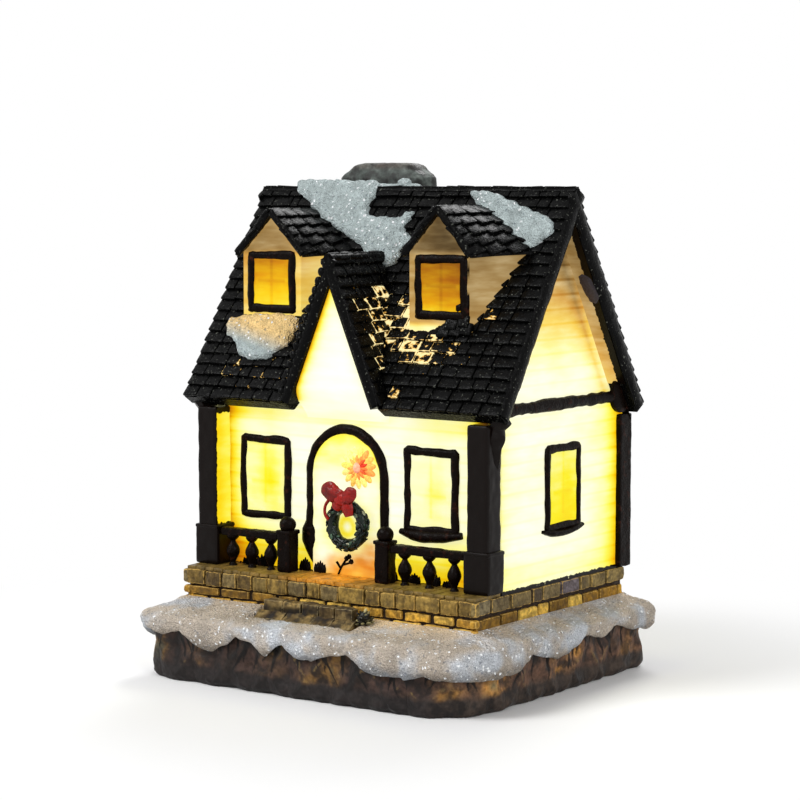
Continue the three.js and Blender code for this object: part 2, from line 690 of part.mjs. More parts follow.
function chimney() {
  const front = CHIMNEY_Y - CHIMNEY_DEPTH / 2;
  const back = CHIMNEY_Y + CHIMNEY_DEPTH / 2;
  const shoulder = RIDGE_Z + CHIMNEY_RISE;
  const half = CHIMNEY_WIDTH / 2;
  const [seatY, seatZ] = onSlope(1, 0, SEAT);
  const seat = (y) => seatZ - (y - seatY) * rearPitch;
  const slopes = prismYZ(
    [[front, seat(front)], [back, seat(back)], [back, shoulder + POT_RISE], [front, shoulder + POT_RISE]],
    CHIMNEY_X - half, CHIMNEY_X + half,
  );
  const potHalf = POT_WIDTH / 2;
  const outline = [
    [CHIMNEY_X - half, 0], [CHIMNEY_X + half, 0], [CHIMNEY_X + half, shoulder],
    [CHIMNEY_X + potHalf + POT_SPREAD, shoulder + POT_RISE / 4], [CHIMNEY_X + potHalf, shoulder + POT_RISE],
    [CHIMNEY_X - potHalf, shoulder + POT_RISE], [CHIMNEY_X - potHalf - POT_SPREAD, shoulder + POT_RISE / 2],
    [CHIMNEY_X - half, shoulder],
  ];
  const across = [
    [front, 0], [back, 0], [back, shoulder], [CHIMNEY_Y + POT_DEPTH / 2, shoulder + POT_RISE],
    [CHIMNEY_Y - POT_DEPTH / 2, shoulder + POT_RISE], [front, shoulder],
  ];
  return slopes
    .intersect(prismXZ(outline, front - 1, back + 1))
    .intersect(prismYZ(across, CHIMNEY_X - half, CHIMNEY_X + half));
}

function frontPost(side) {
  const outer = HOUSE_SIDE;
  const inner = outer - POST_WIDTH;
  const front = FRONT_WALL_Y - POST_FACE;
  const back = Math.min(front + POST_DEPTH, FRONT_WALL_Y - SEAT);
  const top = onSlope(-1, slopeLength(-1), -ROOF_THICKNESS)[1] - SEAT;
  const place = (grow, z0, z1) =>
    side > 0
      ? block(inner - grow, outer + grow, front - grow, back, z0, z1)
      : block(-outer - grow, -inner + grow, front - grow, back, z0, z1);
  return place(0, PORCH_Z, top).add(place(POST_COLLAR, PORCH_Z, RAIL_TOP + POST_COLLAR));
}

// A board folded round each rear corner of the walls.
function cornerBoard(side) {
  const grow = TRIM_DEPTH + SEAT;
  const outline = [
    [HOUSE_SIDE + SEAT, REAR_WALL_Y - CORNER_BOARD], [HOUSE_SIDE + grow, REAR_WALL_Y - CORNER_BOARD],
    [HOUSE_SIDE + grow, REAR_WALL_Y + grow], [HOUSE_SIDE - CORNER_BOARD, REAR_WALL_Y + grow],
    [HOUSE_SIDE - CORNER_BOARD, REAR_WALL_Y + SEAT], [HOUSE_SIDE + SEAT, REAR_WALL_Y + SEAT],
  ];
  const low = prismXY(outline.map(([x, y]) => [side * x, y]), PLINTH_TOP, BEAM_Z - BRACKET_RADIUS - SEAT);
  return low.intersect(underRoof(SEAT));
}

// A beam along each gable's foot, with a rounded bracket under the rear eave.
function gableBeam(side) {
  const inner = HOUSE_SIDE + SEAT;
  const outer = inner + TRIM_DEPTH;
  const low = BEAM_Z - BEAM_HEIGHT / 2;
  const high = BEAM_Z + BEAM_HEIGHT / 2;
  const front = RIDGE_Y - (RIDGE_Z - high - ROOF_THICKNESS * upright(frontPitch)) / frontPitch + SEAT;
  const rear = RIDGE_Y + (RIDGE_Z - high - ROOF_THICKNESS * upright(rearPitch)) / rearPitch - SEAT;
  const bracket = Array.from({ length: 16 }, (_, i) => {
    const angle = (i / 16) * 2 * Math.PI;
    const [across, up] = [BRACKET_RADIUS * Math.cos(angle), BRACKET_RADIUS * Math.sin(angle)];
    return [rear - BRACKET_INSET + across, BEAM_Z + up];
  });
  const [x0, x1] = side > 0 ? [inner, outer] : [-outer, -inner];
  return block(x0, x1, front, rear, low, high).add(prismYZ(bracket, x0, x1).intersect(underRoof(SEAT)));
}

// A frame with a cross of mullions, drawn flat as [across, up, outwards] from the foot's middle.
function windowFrame(width, height, sill) {
  const half = width / 2;
  const flat = (x0, x1, z0, z1, depth) => block(x0, x1, -depth, 0, z0, z1);
  const ring = flat(-half, half, 0, height, FRAME_DEPTH).subtract(
    flat(FRAME_STROKE - half, half - FRAME_STROKE, FRAME_STROKE, height - FRAME_STROKE, 2 * FRAME_DEPTH)
      .translate([0, FRAME_DEPTH / 2, 0]),
  );
  const lap = FRAME_STROKE / 2;
  const cross = flat(-MULLION / 2, MULLION / 2, lap, height - lap, MULLION_DEPTH).add(
    flat(lap - half, half - lap, (height - MULLION) / 2, (height + MULLION) / 2, MULLION_DEPTH),
  );
  const parts = [ring, cross];
  if (sill) parts.push(flat(-half - SILL_EAR, half + SILL_EAR, -SILL_HEIGHT, SEAT, SILL_DEPTH));
  return unite(parts);
}
const placed = (solid, turn, x, y, z) => solid.rotate([0, 0, turn]).translate([x, y, z]);

function archOutline(half, top, foot) {
  const outline = [[DOOR_X - half, foot]];
  for (let i = 0; i <= 14; i++) {
    const angle = Math.PI * (1 - i / 14);
    outline.push([DOOR_X + half * Math.cos(angle), top - half + half * Math.sin(angle)]);
  }
  outline.push([DOOR_X + half, foot]);
  return outline;
}
const DOOR_TOP = PORCH_Z + DOOR_HEIGHT;
const doorFace = FRONT_WALL_Y - SEAT;

function doorFrame() {
  const half = DOOR_WIDTH / 2;
  const inner = archOutline(half - FRAME_STROKE, DOOR_TOP - FRAME_STROKE, 0);
  return prismXZ(archOutline(half, DOOR_TOP, PORCH_Z), doorFace - FRAME_DEPTH, doorFace).subtract(
    prismXZ(inner, doorFace - 2 * FRAME_DEPTH, doorFace + 1),
  );
}

const doorPanel = () =>
  prismXZ(
    archOutline(DOOR_WIDTH / 2 - FRAME_STROKE - SEAT, DOOR_TOP - FRAME_STROKE - SEAT, PORCH_Z),
    doorFace - DOOR_PANEL_DEPTH, doorFace,
  );
const panelFace = doorFace - DOOR_PANEL_DEPTH;

// A flower of round petals about a raised heart.
function doorRosette() {
  const back = panelFace - SEAT;
  const petals = Array.from({ length: ROSETTE_PETALS }, (_, i) => {
    const angle = (2 * Math.PI * i) / ROSETTE_PETALS;
    const reach = ROSETTE_RADIUS - PETAL_RADIUS;
    const petal = new THREE.SphereGeometry(PETAL_RADIUS, 8, 6);
    petal.scale(1, PETAL_FLATNESS, 1);
    petal.translate(ROSETTE_X + reach * Math.cos(angle), back, ROSETTE_Z + reach * Math.sin(angle));
    return solidOf(petal);
  });
  const heart = new THREE.SphereGeometry(HEART_RADIUS, 12, 8);
  heart.translate(ROSETTE_X, back, ROSETTE_Z);
  return unite([solidOf(heart), ...petals]).intersect(block(-FAR, FAR, -FAR, back, -FAR, FAR));
}

function wreathRing() {
  const ring = new THREE.TorusGeometry(WREATH_RADIUS, WREATH_TUBE, 8, 28);
  ring.rotateX(Math.PI / 2);
  ring.translate(WREATH_X, panelFace - SEAT - WREATH_TUBE, WREATH_Z);
  return solidOf(ring);
}

// A tied bow: two loops, two tails and a knot, in front of the wreath's top.
function wreathBow() {
  const half = BOW_SPAN / 2;
  const low = -BOW_RISE / 2;
  const outline = [
    [0, 0.5], [half * 0.55, BOW_RISE * 0.42], [half * 0.95, BOW_RISE * 0.3], [half, 0],
    [half * 0.6, -0.5], [half * 0.75, low], [half * 0.3, low * 0.9], [0, -0.6],
    [-half * 0.3, low * 0.9], [-half * 0.75, low], [-half * 0.6, -0.5], [-half, 0],
    [-half * 0.95, BOW_RISE * 0.3], [-half * 0.55, BOW_RISE * 0.42],
  ];
  const back = panelFace - SEAT - 2 * WREATH_TUBE - SEAT;
  const knot = solidOf(new THREE.SphereGeometry(KNOT_RADIUS, 10, 8)).translate([0, -BOW_THICKNESS, 0]);
  return prismXZ(outline, -BOW_THICKNESS, 0).add(knot).translate([BOW_X, back, BOW_Z]);
}

// A vase-shaped baluster: block, neck, belly and foot.
function baluster(x) {
  const low = PORCH_Z;
  const height = RAIL_TOP - RAIL_HEIGHT - low;
  const profile = [
    [0, 0], [0.6, 0], [0.45, 0.08], [0.6, 0.2], [1, 0.42], [0.9, 0.6], [0.5, 0.78], [0.55, 0.84],
    [0.95, 0.9], [0.95, 1.02], [0, 1.02],
  ];
  return turned(
    profile.map(([r, z]) => [r * BALUSTER_RADIUS, low + z * height]),
    10, x, RAIL_Y + RAIL_DEPTH / 2,
  );
}

function railing(from, to) {
  const rail = block(from, to, RAIL_Y, RAIL_Y + RAIL_DEPTH, RAIL_TOP - RAIL_HEIGHT, RAIL_TOP);
  const pitch = (to - from) / BALUSTER_COUNT;
  const balusters = Array.from({ length: BALUSTER_COUNT }, (_, i) =>
    baluster(from + (i + 0.5) * pitch),
  );
  return unite([rail, ...balusters]);
}

function newel(x) {
  const half = NEWEL_WIDTH / 2;
  const y = RAIL_Y + RAIL_DEPTH / 2;
  const ball = new THREE.SphereGeometry(NEWEL_BALL, 14, 10);
  ball.translate(x, y, NEWEL_TOP + NEWEL_BALL * 0.7);
  return block(x - half, x + half, y - half, y + half, PORCH_Z, NEWEL_TOP).add(solidOf(ball));
}

function shrub() {
  const bush = new THREE.SphereGeometry(SHRUB_RADIUS, 12, 8);
  bush.scale(0.8, 0.7, 1);
  bush.translate(SHRUB_X, PLINTH_FRONT_Y - COPING_LIP - SEAT - SHRUB_RADIUS, SNOW_TOP + SHRUB_RADIUS * 0.7);
  return solidOf(bush).intersect(block(-FAR, FAR, -FAR, FAR, SNOW_TOP + SEAT / 2, FAR));
}

// A patch of snow with a soft edge, laid on the front slope.
function slopeSnow(outline) {
  const knots = [...outline, outline[0]].map(([x, down]) => new THREE.Vector2(x, down));
  const rim = new THREE.SplineCurve(knots).getSpacedPoints(3 * outline.length).slice(0, -1);
  const middle = rim.reduce((sum, point) => sum.add(point), new THREE.Vector2()).divideScalar(rim.length);
  const layer = (shrink, off) =>
    rim.map((point) => {
      const p = point.clone().lerp(middle, shrink);
      const [y, z] = onSlope(-1, Math.max(p.y, RIDGE_BLUNTING), off);
      return [p.x, y, z];
    });
  const rings = [
    layer(0, SEAT),
    layer(-0.02, SEAT + ROOF_SNOW_THICKNESS / 2),
    layer(0.1, SEAT + ROOF_SNOW_THICKNESS),
  ];
  const gable = prismXZ(gableOutline(-SEAT, 0), GABLE_FRONT_Y, RIDGE_Y);
  const dormers = DORMERS.map((dormer) => dormerRoofShape(dormer, SEAT));
  return skinned(rings, [0, 1]).subtract(unite([gable, ...dormers]));
}

// Snow drifted over the ridge in front of the chimney, thinner towards its ends.
function ridgeSnow() {
  const section = (x, rise) =>
    [
      onSlope(-1, RIDGE_BLUNTING, SEAT),
      [RIDGE_Y, RIDGE_Z],
      onSlope(1, RIDGE_SNOW_DROP, SEAT),
      onSlope(1, RIDGE_SNOW_DROP, SEAT + rise),
      [RIDGE_Y + RIDGE_BLUNTING, RIDGE_Z + rise],
      [RIDGE_Y - RIDGE_BLUNTING / 2, RIDGE_Z + rise * 0.8],
    ].map(([y, z]) => [x, y, z]);
  const taper = RIDGE_SNOW_DROP;
  return skinned([
    section(RIDGE_SNOW_LEFT, RIDGE_SNOW_RISE / 2), section(RIDGE_SNOW_LEFT + taper, RIDGE_SNOW_RISE),
    section(RIDGE_SNOW_RIGHT - taper, RIDGE_SNOW_RISE), section(RIDGE_SNOW_RIGHT, RIDGE_SNOW_RISE / 2),
  ], [1, 2]);
}

// The light: a flange plate that closes the base and carries the battery bay, under a box-shaped cover.
const BAY_LENGTH = CELL_COUNT * (CELL_THICKNESS + CELL_GAP) + 2 * CONTACT_THICKNESS + SPRING_DEPTH;
const BAY_X0 = -UNIT_LENGTH / 2 + UNIT_WALL + 4;
const BAY_X1 = BAY_X0 + BAY_LENGTH;
const BAY_HALF = CELL_DIAMETER / 2 + RUN;
const BAY_Y = UNIT_Y + UNIT_WIDTH / 2 - UNIT_WALL - SEAT - UNIT_INNER_WALL - BAY_HALF;
const DOOR_TOP_Z = PLATE_RECESS + DOOR_PLATE;
const CELL_Z = DOOR_TOP_Z + RUN + CELL_DIAMETER / 2;
const HOUSING_TOP = CELL_Z + CELL_DIAMETER / 2 + RUN;
const DOOR_SCREW_X = BAY_X1 + DOOR_EAR / 2;
const boardBack = BAY_Y - BAY_HALF - UNIT_INNER_WALL - RUN;
const boardFront = UNIT_Y - UNIT_WIDTH / 2 + UNIT_WALL + BOARD_MARGIN;
const BOARD_Y = (boardFront + boardBack) / 2;
const BOARD_Z = PLATE_TOP + SWITCH_HEIGHT + RUN;
const boardX0 = SWITCH_X + SWITCH_LENGTH / 2 + 1 - BOARD_LENGTH;

// The battery door's outline, grown by a clearance.
const doorBlock = (grow, z0, z1) =>
  block(
    BAY_X0 - DOOR_LAP - grow, BAY_X1 + DOOR_EAR + grow,
    BAY_Y - BAY_HALF - DOOR_LAP - grow, BAY_Y + BAY_HALF + DOOR_LAP + grow, z0, z1,
  );

// The slot that the switch knob travels in, up to a height.
function knobSlot(top) {
  const [half, side] = [(KNOB_TRAVEL + KNOB_LENGTH) / 2 + RUN, KNOB_WIDTH / 2 + RUN];
  return block(SWITCH_X - half, SWITCH_X + half, BOARD_Y - side, BOARD_Y + side, 0, top);
}

function unitHousing() {
  const bayOuter = block(
    BAY_X0 - UNIT_INNER_WALL, BAY_X1 + UNIT_INNER_WALL,
    BAY_Y - BAY_HALF - UNIT_INNER_WALL, BAY_Y + BAY_HALF + UNIT_INNER_WALL,
    PLATE_TOP - SEAT, HOUSING_TOP - BAY_WALL_DROP,
  );
  const bore = SCREW_RADIUS + SEAT;
  const boreTop = PLATE_RECESS + SCREW_LENGTH + SEAT;
  const boss = rod(bore + BOSS_WALL, PLATE_TOP - SEAT, boreTop + BOSS_WALL, 20, DOOR_SCREW_X, BAY_Y);
  const boardPost = rod(BOSS_WALL, PLATE_TOP - SEAT, BOARD_Z - SEAT / 2, 16, boardX0 + 2, BOARD_Y);
  const holes = [
    block(BAY_X0, BAY_X1, BAY_Y - BAY_HALF, BAY_Y + BAY_HALF, 0, HOUSING_TOP),
    doorBlock(RUN, 0, DOOR_TOP_Z + SEAT),
    knobSlot(PLATE_TOP + 1),
    rod(bore, 0, boreTop, 16, DOOR_SCREW_X, BAY_Y),
    ...[-1, 1].map((side) => rod(bore, 0, FAR, 16, side * UNIT_SCREW_X, UNIT_Y)),
  ];
  return unite([plateBox(0, PLATE_RECESS, PLATE_TOP), bayOuter, boss, boardPost]).subtract(unite(holes));
}

const COVER_TOP = HOUSING_TOP + COVER_THICKNESS;
const unitCover = () =>
  unitBox(0, PLATE_TOP, COVER_TOP)
    .subtract(unitBox(-UNIT_WALL, 0, HOUSING_TOP))
    .subtract(rod(LED_RADIUS + RUN, 0, FAR, 24, LED_X, BOARD_Y));

// The door's plate with two ribs that drop into the bay beside the cells.
function batteryDoor() {
  const inner = BAY_HALF - RUN - DOOR_RIB;
  const outer = BAY_HALF - RUN;
  const ribs = [[-outer, -inner], [inner, outer]].map(([y0, y1]) =>
    block(BAY_X0 + 1, BAY_X1 - 1, BAY_Y + y0, BAY_Y + y1, DOOR_TOP_Z - SEAT, DOOR_TOP_Z + DOOR_PLATE),
  );
  return unite([doorBlock(0, PLATE_RECESS, DOOR_TOP_Z), ...ribs])
    .subtract(rod(SCREW_RADIUS + SEAT, 0, FAR, 16, DOOR_SCREW_X, BAY_Y));
}

// A pan-head screw pointing up, with a driver slot in its head.
function screw(x, y) {
  const head = rod(SCREW_HEAD_RADIUS, PLATE_RECESS - SCREW_HEAD_HEIGHT, PLATE_RECESS, 20, x, y);
  const shank = rod(SCREW_RADIUS, PLATE_RECESS - SEAT, PLATE_RECESS + SCREW_LENGTH, 16, x, y);
  const slot = block(x - SCREW_HEAD_RADIUS, x + SCREW_HEAD_RADIUS, y - 0.25, y + 0.25,
    0, PLATE_RECESS - SCREW_HEAD_HEIGHT / 2);
  return head.add(shank).subtract(slot);
}

// A button cell lying on its side: the wide can and the smaller cap on its face.
function buttonCell(i) {
  const start = BAY_X0 + CONTACT_THICKNESS + RUN / 2 + i * (CELL_THICKNESS + CELL_GAP);
  const radius = CELL_DIAMETER / 2;
  const profile = [
    [0, 0], [radius - 0.4, 0], [radius, 0.4], [radius, CELL_THICKNESS - 0.7],
    [radius - 0.9, CELL_THICKNESS - 0.5], [radius - 1.1, CELL_THICKNESS], [0, CELL_THICKNESS],
  ];
  return turned(profile, 28, 0, 0).rotate([0, 90, 0]).translate([start, BAY_Y, CELL_Z]);
}

const contactTop = HOUSING_TOP - BAY_WALL_DROP + 1.4;
function contactPositive() {
  const outline = [
    [BAY_Y - 4, CELL_Z - 3.5], [BAY_Y + 4, CELL_Z - 3.5], [BAY_Y + 4, CELL_Z + 3], [BAY_Y - 2.6, CELL_Z + 3],
    [BAY_Y - 2.6, contactTop], [BAY_Y - 4, contactTop],
  ];
  return prismYZ(outline, BAY_X0 + SEAT / 4, BAY_X0 + SEAT / 4 + CONTACT_THICKNESS - SEAT / 4);
}

// A folded leaf that presses on the last cell.
function contactNegative() {
  const wall = BAY_X1 - SEAT / 4;
  const sheet = CONTACT_THICKNESS - 0.1;
  const reach = SPRING_DEPTH + CONTACT_THICKNESS - 0.45;
  const leaf = [
    [wall, BAY_Y - 4], [wall, BAY_Y + 4], [wall - sheet - 0.2, BAY_Y + 4], [wall - reach, BAY_Y + 0.4],
    [wall - reach, BAY_Y - 0.4], [wall - reach + sheet, BAY_Y], [wall - sheet, BAY_Y + 2.8],
    [wall - sheet, BAY_Y - 4],
  ];
  const tab = block(wall - sheet, wall, BAY_Y - 4, BAY_Y - 2.6, CELL_Z, contactTop);
  return prismXY(leaf, CELL_Z - 2.5, CELL_Z + 2.5).add(tab);
}

const board = () =>
  block(boardX0, boardX0 + BOARD_LENGTH, boardFront, boardBack, BOARD_Z, BOARD_Z + BOARD_THICKNESS);

function switchBody() {
  const [half, side] = [SWITCH_LENGTH / 2, SWITCH_WIDTH / 2];
  const body = block(
    SWITCH_X - half, SWITCH_X + half, BOARD_Y - side, BOARD_Y + side, PLATE_TOP, PLATE_TOP + SWITCH_HEIGHT,
  );
  return body.subtract(knobSlot(PLATE_TOP + SWITCH_HEIGHT / 2));
}

// The knob stands at the lit end of its slot, with three grip ribs on its tip.
function switchKnob() {
  const x = SWITCH_X + KNOB_TRAVEL / 2;
  const tip = PLATE_RECESS - KNOB_STAND;
  const stem = block(
    x - KNOB_LENGTH / 2, x + KNOB_LENGTH / 2, BOARD_Y - KNOB_WIDTH / 2, BOARD_Y + KNOB_WIDTH / 2,
    tip, PLATE_TOP + SWITCH_HEIGHT / 2 - RUN,
  );
  const grooves = [-1, 1].map((side) => {
    const middle = x + (side * KNOB_LENGTH) / 5;
    return block(middle - KNOB_GROOVE / 2, middle + KNOB_GROOVE / 2, -FAR, FAR, 0, tip + KNOB_GROOVE);
  });
  return stem.subtract(unite(grooves));
}

// The lamp: a domed body with a flange, on two square leads from the board.
function led() {
  const foot = HOUSING_TOP - 1.5;
  const shoulder = foot + LED_HEIGHT - LED_RADIUS;
  const dome = Array.from({ length: 7 }, (_, i) => {
    const angle = (i / 6) * (Math.PI / 2);
    return [LED_RADIUS * Math.cos(angle), shoulder + LED_RADIUS * Math.sin(angle)];
  });
  dome[dome.length - 1][0] = 0;
  const rim = LED_RADIUS + LED_FLANGE;
  const profile = [[0, foot], [rim, foot], [rim, foot + 1], [LED_RADIUS, foot + 1], ...dome];
  const leads = [-1, 1].map((side) => {
    const [x, half] = [LED_X + (side * LED_PITCH) / 2, LED_LEAD / 2];
    const from = BOARD_Z + BOARD_THICKNESS;
    return block(x - half, x + half, BOARD_Y - half, BOARD_Y + half, from, foot + SEAT);
  });
  return unite([turned(profile, 24, LED_X, BOARD_Y), ...leads]);
}

// An insulated lead from a contact's tab, over the bay wall, to the board.
function wire(tabX, boardX) {
  const z = contactTop + WIRE_RADIUS;
  const wallY = BAY_Y - BAY_HALF;
  const landing = BOARD_Z + BOARD_THICKNESS + SEAT / 2;
  const points = [
    [tabX, BAY_Y - 3.2, z], [tabX, wallY - 0.5, z], [(tabX + boardX) / 2, wallY - 2.6, z - 1],
    [boardX, BOARD_Y + 2.2, landing + 1.9], [boardX, BOARD_Y + 2.2, landing],
  ].map((place) => new THREE.Vector3(...place));
  const extrudePath = new THREE.CatmullRomCurve3(points);
  const section = new THREE.Shape().absarc(0, 0, WIRE_RADIUS, 0, 2 * Math.PI);
  const options = { extrudePath, steps: 20, curveSegments: 4, bevelEnabled: false };
  return solidOf(new THREE.ExtrudeGeometry(section, options));
}

// Finishes: colour, roughness and metalness.
const finish = (color, roughness, metalness = 0) =>
  new THREE.MeshStandardMaterial({ color, roughness, metalness });
const ROCK = finish("#4a3f38", 0.7);
const SNOW = finish("#c9cbd2", 0.9);
const STONE = finish("#6a5f48", 0.8);
const LIT_WALL = finish("#fff0b0", 0.6);
const ROOF = finish("#16151a", 0.35);
const TRIM = finish("#1c1110", 0.4);
const AMBER = finish("#d9a860", 0.5);
const GREEN = finish("#12281c", 0.6);
const RED = finish("#b01414", 0.5);
const FLOWER = finish("#d8642c", 0.6);
const PLASTIC = finish("#e8e6e0", 0.5);
const STEEL = finish("#b8b8b8", 0.3, 1);
const BOARD = finish("#1f6b3a", 0.6);
const LAMP = finish("#fff4c8", 0.2);
const RED_LEAD = finish("#a01818", 0.5);
const BLACK = finish("#151515", 0.5);

const house = new THREE.Group();
function add(name, solid, material) {
  const mesh = new THREE.Mesh(geometryOf(solid), material);
  mesh.name = name;
  house.add(mesh);
}

add("base_rock", rockBase(), ROCK);
add("base_snow", baseSnow(), SNOW);
add("brick_plinth", brickPlinth(), STONE);
add(
  "porch_floor",
  block(-HOUSE_SIDE, HOUSE_SIDE, PLINTH_FRONT_Y, FRONT_WALL_Y - SEAT, PLINTH_TOP, PORCH_Z),
  STONE,
);
add("front_steps", stepBlocks(0), STONE);
add("house_walls", houseWalls(), LIT_WALL);
add("main_roof", mainRoof(), ROOF);
add("front_gable_wall", frontGableWall(), LIT_WALL);
add("front_gable_roof", frontGableRoof(), ROOF);
for (const dormer of DORMERS) {
  const { foot, front } = dormerPlaces(dormer);
  add(`dormer_${dormer.side}_walls`, dormerWalls(dormer), AMBER);
  add(`dormer_${dormer.side}_roof`, dormerRoof(dormer), ROOF);
  add(
    `dormer_${dormer.side}_window`,
    placed(windowFrame(DORMER_WINDOW_WIDTH, DORMER_WINDOW_HEIGHT, false), 0,
      dormer.x + dormer.shift, front - SEAT, foot + dormer.sill),
    TRIM,
  );
}
add("chimney", chimney(), ROCK);
add("post_front_left", frontPost(-1), TRIM);
add("post_front_right", frontPost(1), TRIM);
add("corner_board_left", cornerBoard(-1), TRIM);
add("corner_board_right", cornerBoard(1), TRIM);
add("gable_beam_left", gableBeam(-1), TRIM);
add("gable_beam_right", gableBeam(1), TRIM);

const windowZ = PORCH_Z + WINDOW_FOOT;
const frontWindow = (x, sill) =>
  placed(windowFrame(WINDOW_WIDTH, WINDOW_HEIGHT, sill), 0, x, FRONT_WALL_Y - SEAT, windowZ);
const sideWindow = (side) =>
  placed(windowFrame(WINDOW_WIDTH, WINDOW_HEIGHT, true), side * 90,
    side * (HOUSE_SIDE + SEAT), SIDE_WINDOW_Y, windowZ);
const rearWindow = (x) =>
  placed(windowFrame(WINDOW_WIDTH, WINDOW_HEIGHT, false), 180, x, REAR_WALL_Y + SEAT, windowZ);
const doorSide = (side) => DOOR_X + (side * DOOR_WIDTH) / 2;
const betweenDoorAndPost = (side, place) =>
  THREE.MathUtils.lerp(doorSide(side), side * (HOUSE_SIDE - POST_WIDTH), place);
add("window_front_left", frontWindow(betweenDoorAndPost(-1, WINDOW_LEFT_PLACE), false), TRIM);
add("window_front_right", frontWindow(betweenDoorAndPost(1, WINDOW_RIGHT_PLACE), true), TRIM);
add("window_side_left", sideWindow(-1), TRIM);
add("window_side_right", sideWindow(1), TRIM);
add("window_rear_left", rearWindow(-REAR_WINDOW_X), TRIM);
add("window_rear_right", rearWindow(REAR_WINDOW_X), TRIM);

add("door_frame", doorFrame(), TRIM);
add("door_panel", doorPanel(), LIT_WALL);
add("door_rosette", doorRosette(), FLOWER);
add("wreath_ring", wreathRing(), GREEN);
add("wreath_bow", wreathBow(), RED);

const railSeat = NEWEL_WIDTH / 2 + SEAT;
const postInner = HOUSE_SIDE - POST_WIDTH - POST_COLLAR - SEAT;
add("railing_left", railing(-postInner, NEWEL_LEFT_X - railSeat), TRIM);
add("railing_right", railing(NEWEL_RIGHT_X + railSeat, postInner), TRIM);
add("newel_left", newel(NEWEL_LEFT_X), TRIM);
add("newel_right", newel(NEWEL_RIGHT_X), TRIM);
add("shrub", shrub(), GREEN);
add("roof_snow_centre", slopeSnow(SNOW_CENTRE), SNOW);
add("roof_snow_right", slopeSnow(SNOW_RIGHT), SNOW);
add("roof_snow_left", slopeSnow(SNOW_LEFT), SNOW);
add("ridge_snow", ridgeSnow(), SNOW);

add("unit_housing", unitHousing(), PLASTIC);
add("unit_cover", unitCover(), PLASTIC);
add("unit_screw_left", screw(-UNIT_SCREW_X, UNIT_Y), STEEL);
add("unit_screw_right", screw(UNIT_SCREW_X, UNIT_Y), STEEL);
add("battery_door", batteryDoor(), PLASTIC);
add("door_screw", screw(DOOR_SCREW_X, BAY_Y), STEEL);
for (let i = 0; i < CELL_COUNT; i++) add(`button_cell_${i + 1}`, buttonCell(i), STEEL);
add("contact_positive", contactPositive(), STEEL);
add("contact_negative", contactNegative(), STEEL);
add("circuit_board", board(), BOARD);
add("switch_body", switchBody(), BLACK);
add("switch_knob", switchKnob(), BLACK);
add("led", led(), LAMP);
add("wire_red", wire(BAY_X0 + CONTACT_THICKNESS / 2, boardX0 + 4), RED_LEAD);
add("wire_black", wire(BAY_X1 - CONTACT_THICKNESS / 2, LED_X + 4.5), BLACK);

export default house;
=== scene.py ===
import math
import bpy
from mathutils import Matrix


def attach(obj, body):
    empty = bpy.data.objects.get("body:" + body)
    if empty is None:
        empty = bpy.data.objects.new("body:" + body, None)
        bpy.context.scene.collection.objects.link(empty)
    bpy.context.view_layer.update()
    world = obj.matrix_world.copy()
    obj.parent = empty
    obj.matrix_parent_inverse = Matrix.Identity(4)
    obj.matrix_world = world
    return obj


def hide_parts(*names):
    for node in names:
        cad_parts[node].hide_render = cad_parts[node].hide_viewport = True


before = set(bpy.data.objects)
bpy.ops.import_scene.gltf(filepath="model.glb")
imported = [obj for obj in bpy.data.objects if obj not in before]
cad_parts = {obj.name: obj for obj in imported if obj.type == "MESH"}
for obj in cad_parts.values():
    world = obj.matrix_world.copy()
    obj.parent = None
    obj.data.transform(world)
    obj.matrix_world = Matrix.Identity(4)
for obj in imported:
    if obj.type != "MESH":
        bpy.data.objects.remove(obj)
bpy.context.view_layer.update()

from types import SimpleNamespace

import bpy
import numpy as np

bl_info = {
    "name": "House night light",
    "version": (1, 0, 0),
    "blender": (4, 5, 0),
    "location": "View3D > Sidebar > Night light",
    "description": "A small hand-painted resin cottage that glows from inside",
    "category": "Add Mesh",
}

# Lengths are worked out in millimetres, in the frame of the model, and scaled when a mesh is made.
MM = 0.001
BASE_WIDTH, BASE_DEPTH, ROCK_TOP = 56.2, 50.0, 8.2
HOUSE_SIDE, GABLE_SIDE, BEAM_Z = 25.3, 24.2, 40.2
FRONT_WALL_Y, REAR_WALL_Y = -11.2, 21.3
PLINTH_FRONT_Y, PORCH_Z, POST_Y, RAIL_Y = -17.7, 15.5, -13.2, -13.9
RIDGE_Y, RIDGE_Z = 3.9, 70.4
FRONT_PITCH, REAR_PITCH = 1.567, 1.644
FRONT_SLOPE_LENGTH, REAR_SLOPE_LENGTH = 36.06, 36.75
ROOF_SIDE, ROOF_THICKNESS, VERGE_X = 27.6, 2.4, 27.1
GABLE_X, GABLE_PEAK, GABLE_PITCH = -0.6, 61.2, 2.369
GABLE_UNIT = math.hypot(1, GABLE_PITCH)
UNIT_X, UNIT_Y0, UNIT_Y1, PLATE_X, PLATE_TOP = 18.3, -8.7, 18.9, 22.3, 3.2
DOOR_X, DOOR_HALF, DOOR_TOP = -0.7, 7.1, 36.8
# Front middle, half width, heights, the window's shift to the side and its foot over the dormer's, the
# direction of the other dormer, and the brightness of wall and pane
DORMERS = {
    "left": SimpleNamespace(
        x=-16.8, front=-7.9, half=5.3, peak=66.1, eave=61.0, foot=51.9, shift=0.0, sill=0.2, inward=1,
        lit=0.62, pane=0.97,
    ),
    "right": SimpleNamespace(
        x=13.4, front=-9.0, half=4.9, peak=66.7, eave=61.5, foot=50.2, shift=0.5, sill=1.9, inward=-1,
        lit=0.38, pane=0.68,
    ),
}


# Colours


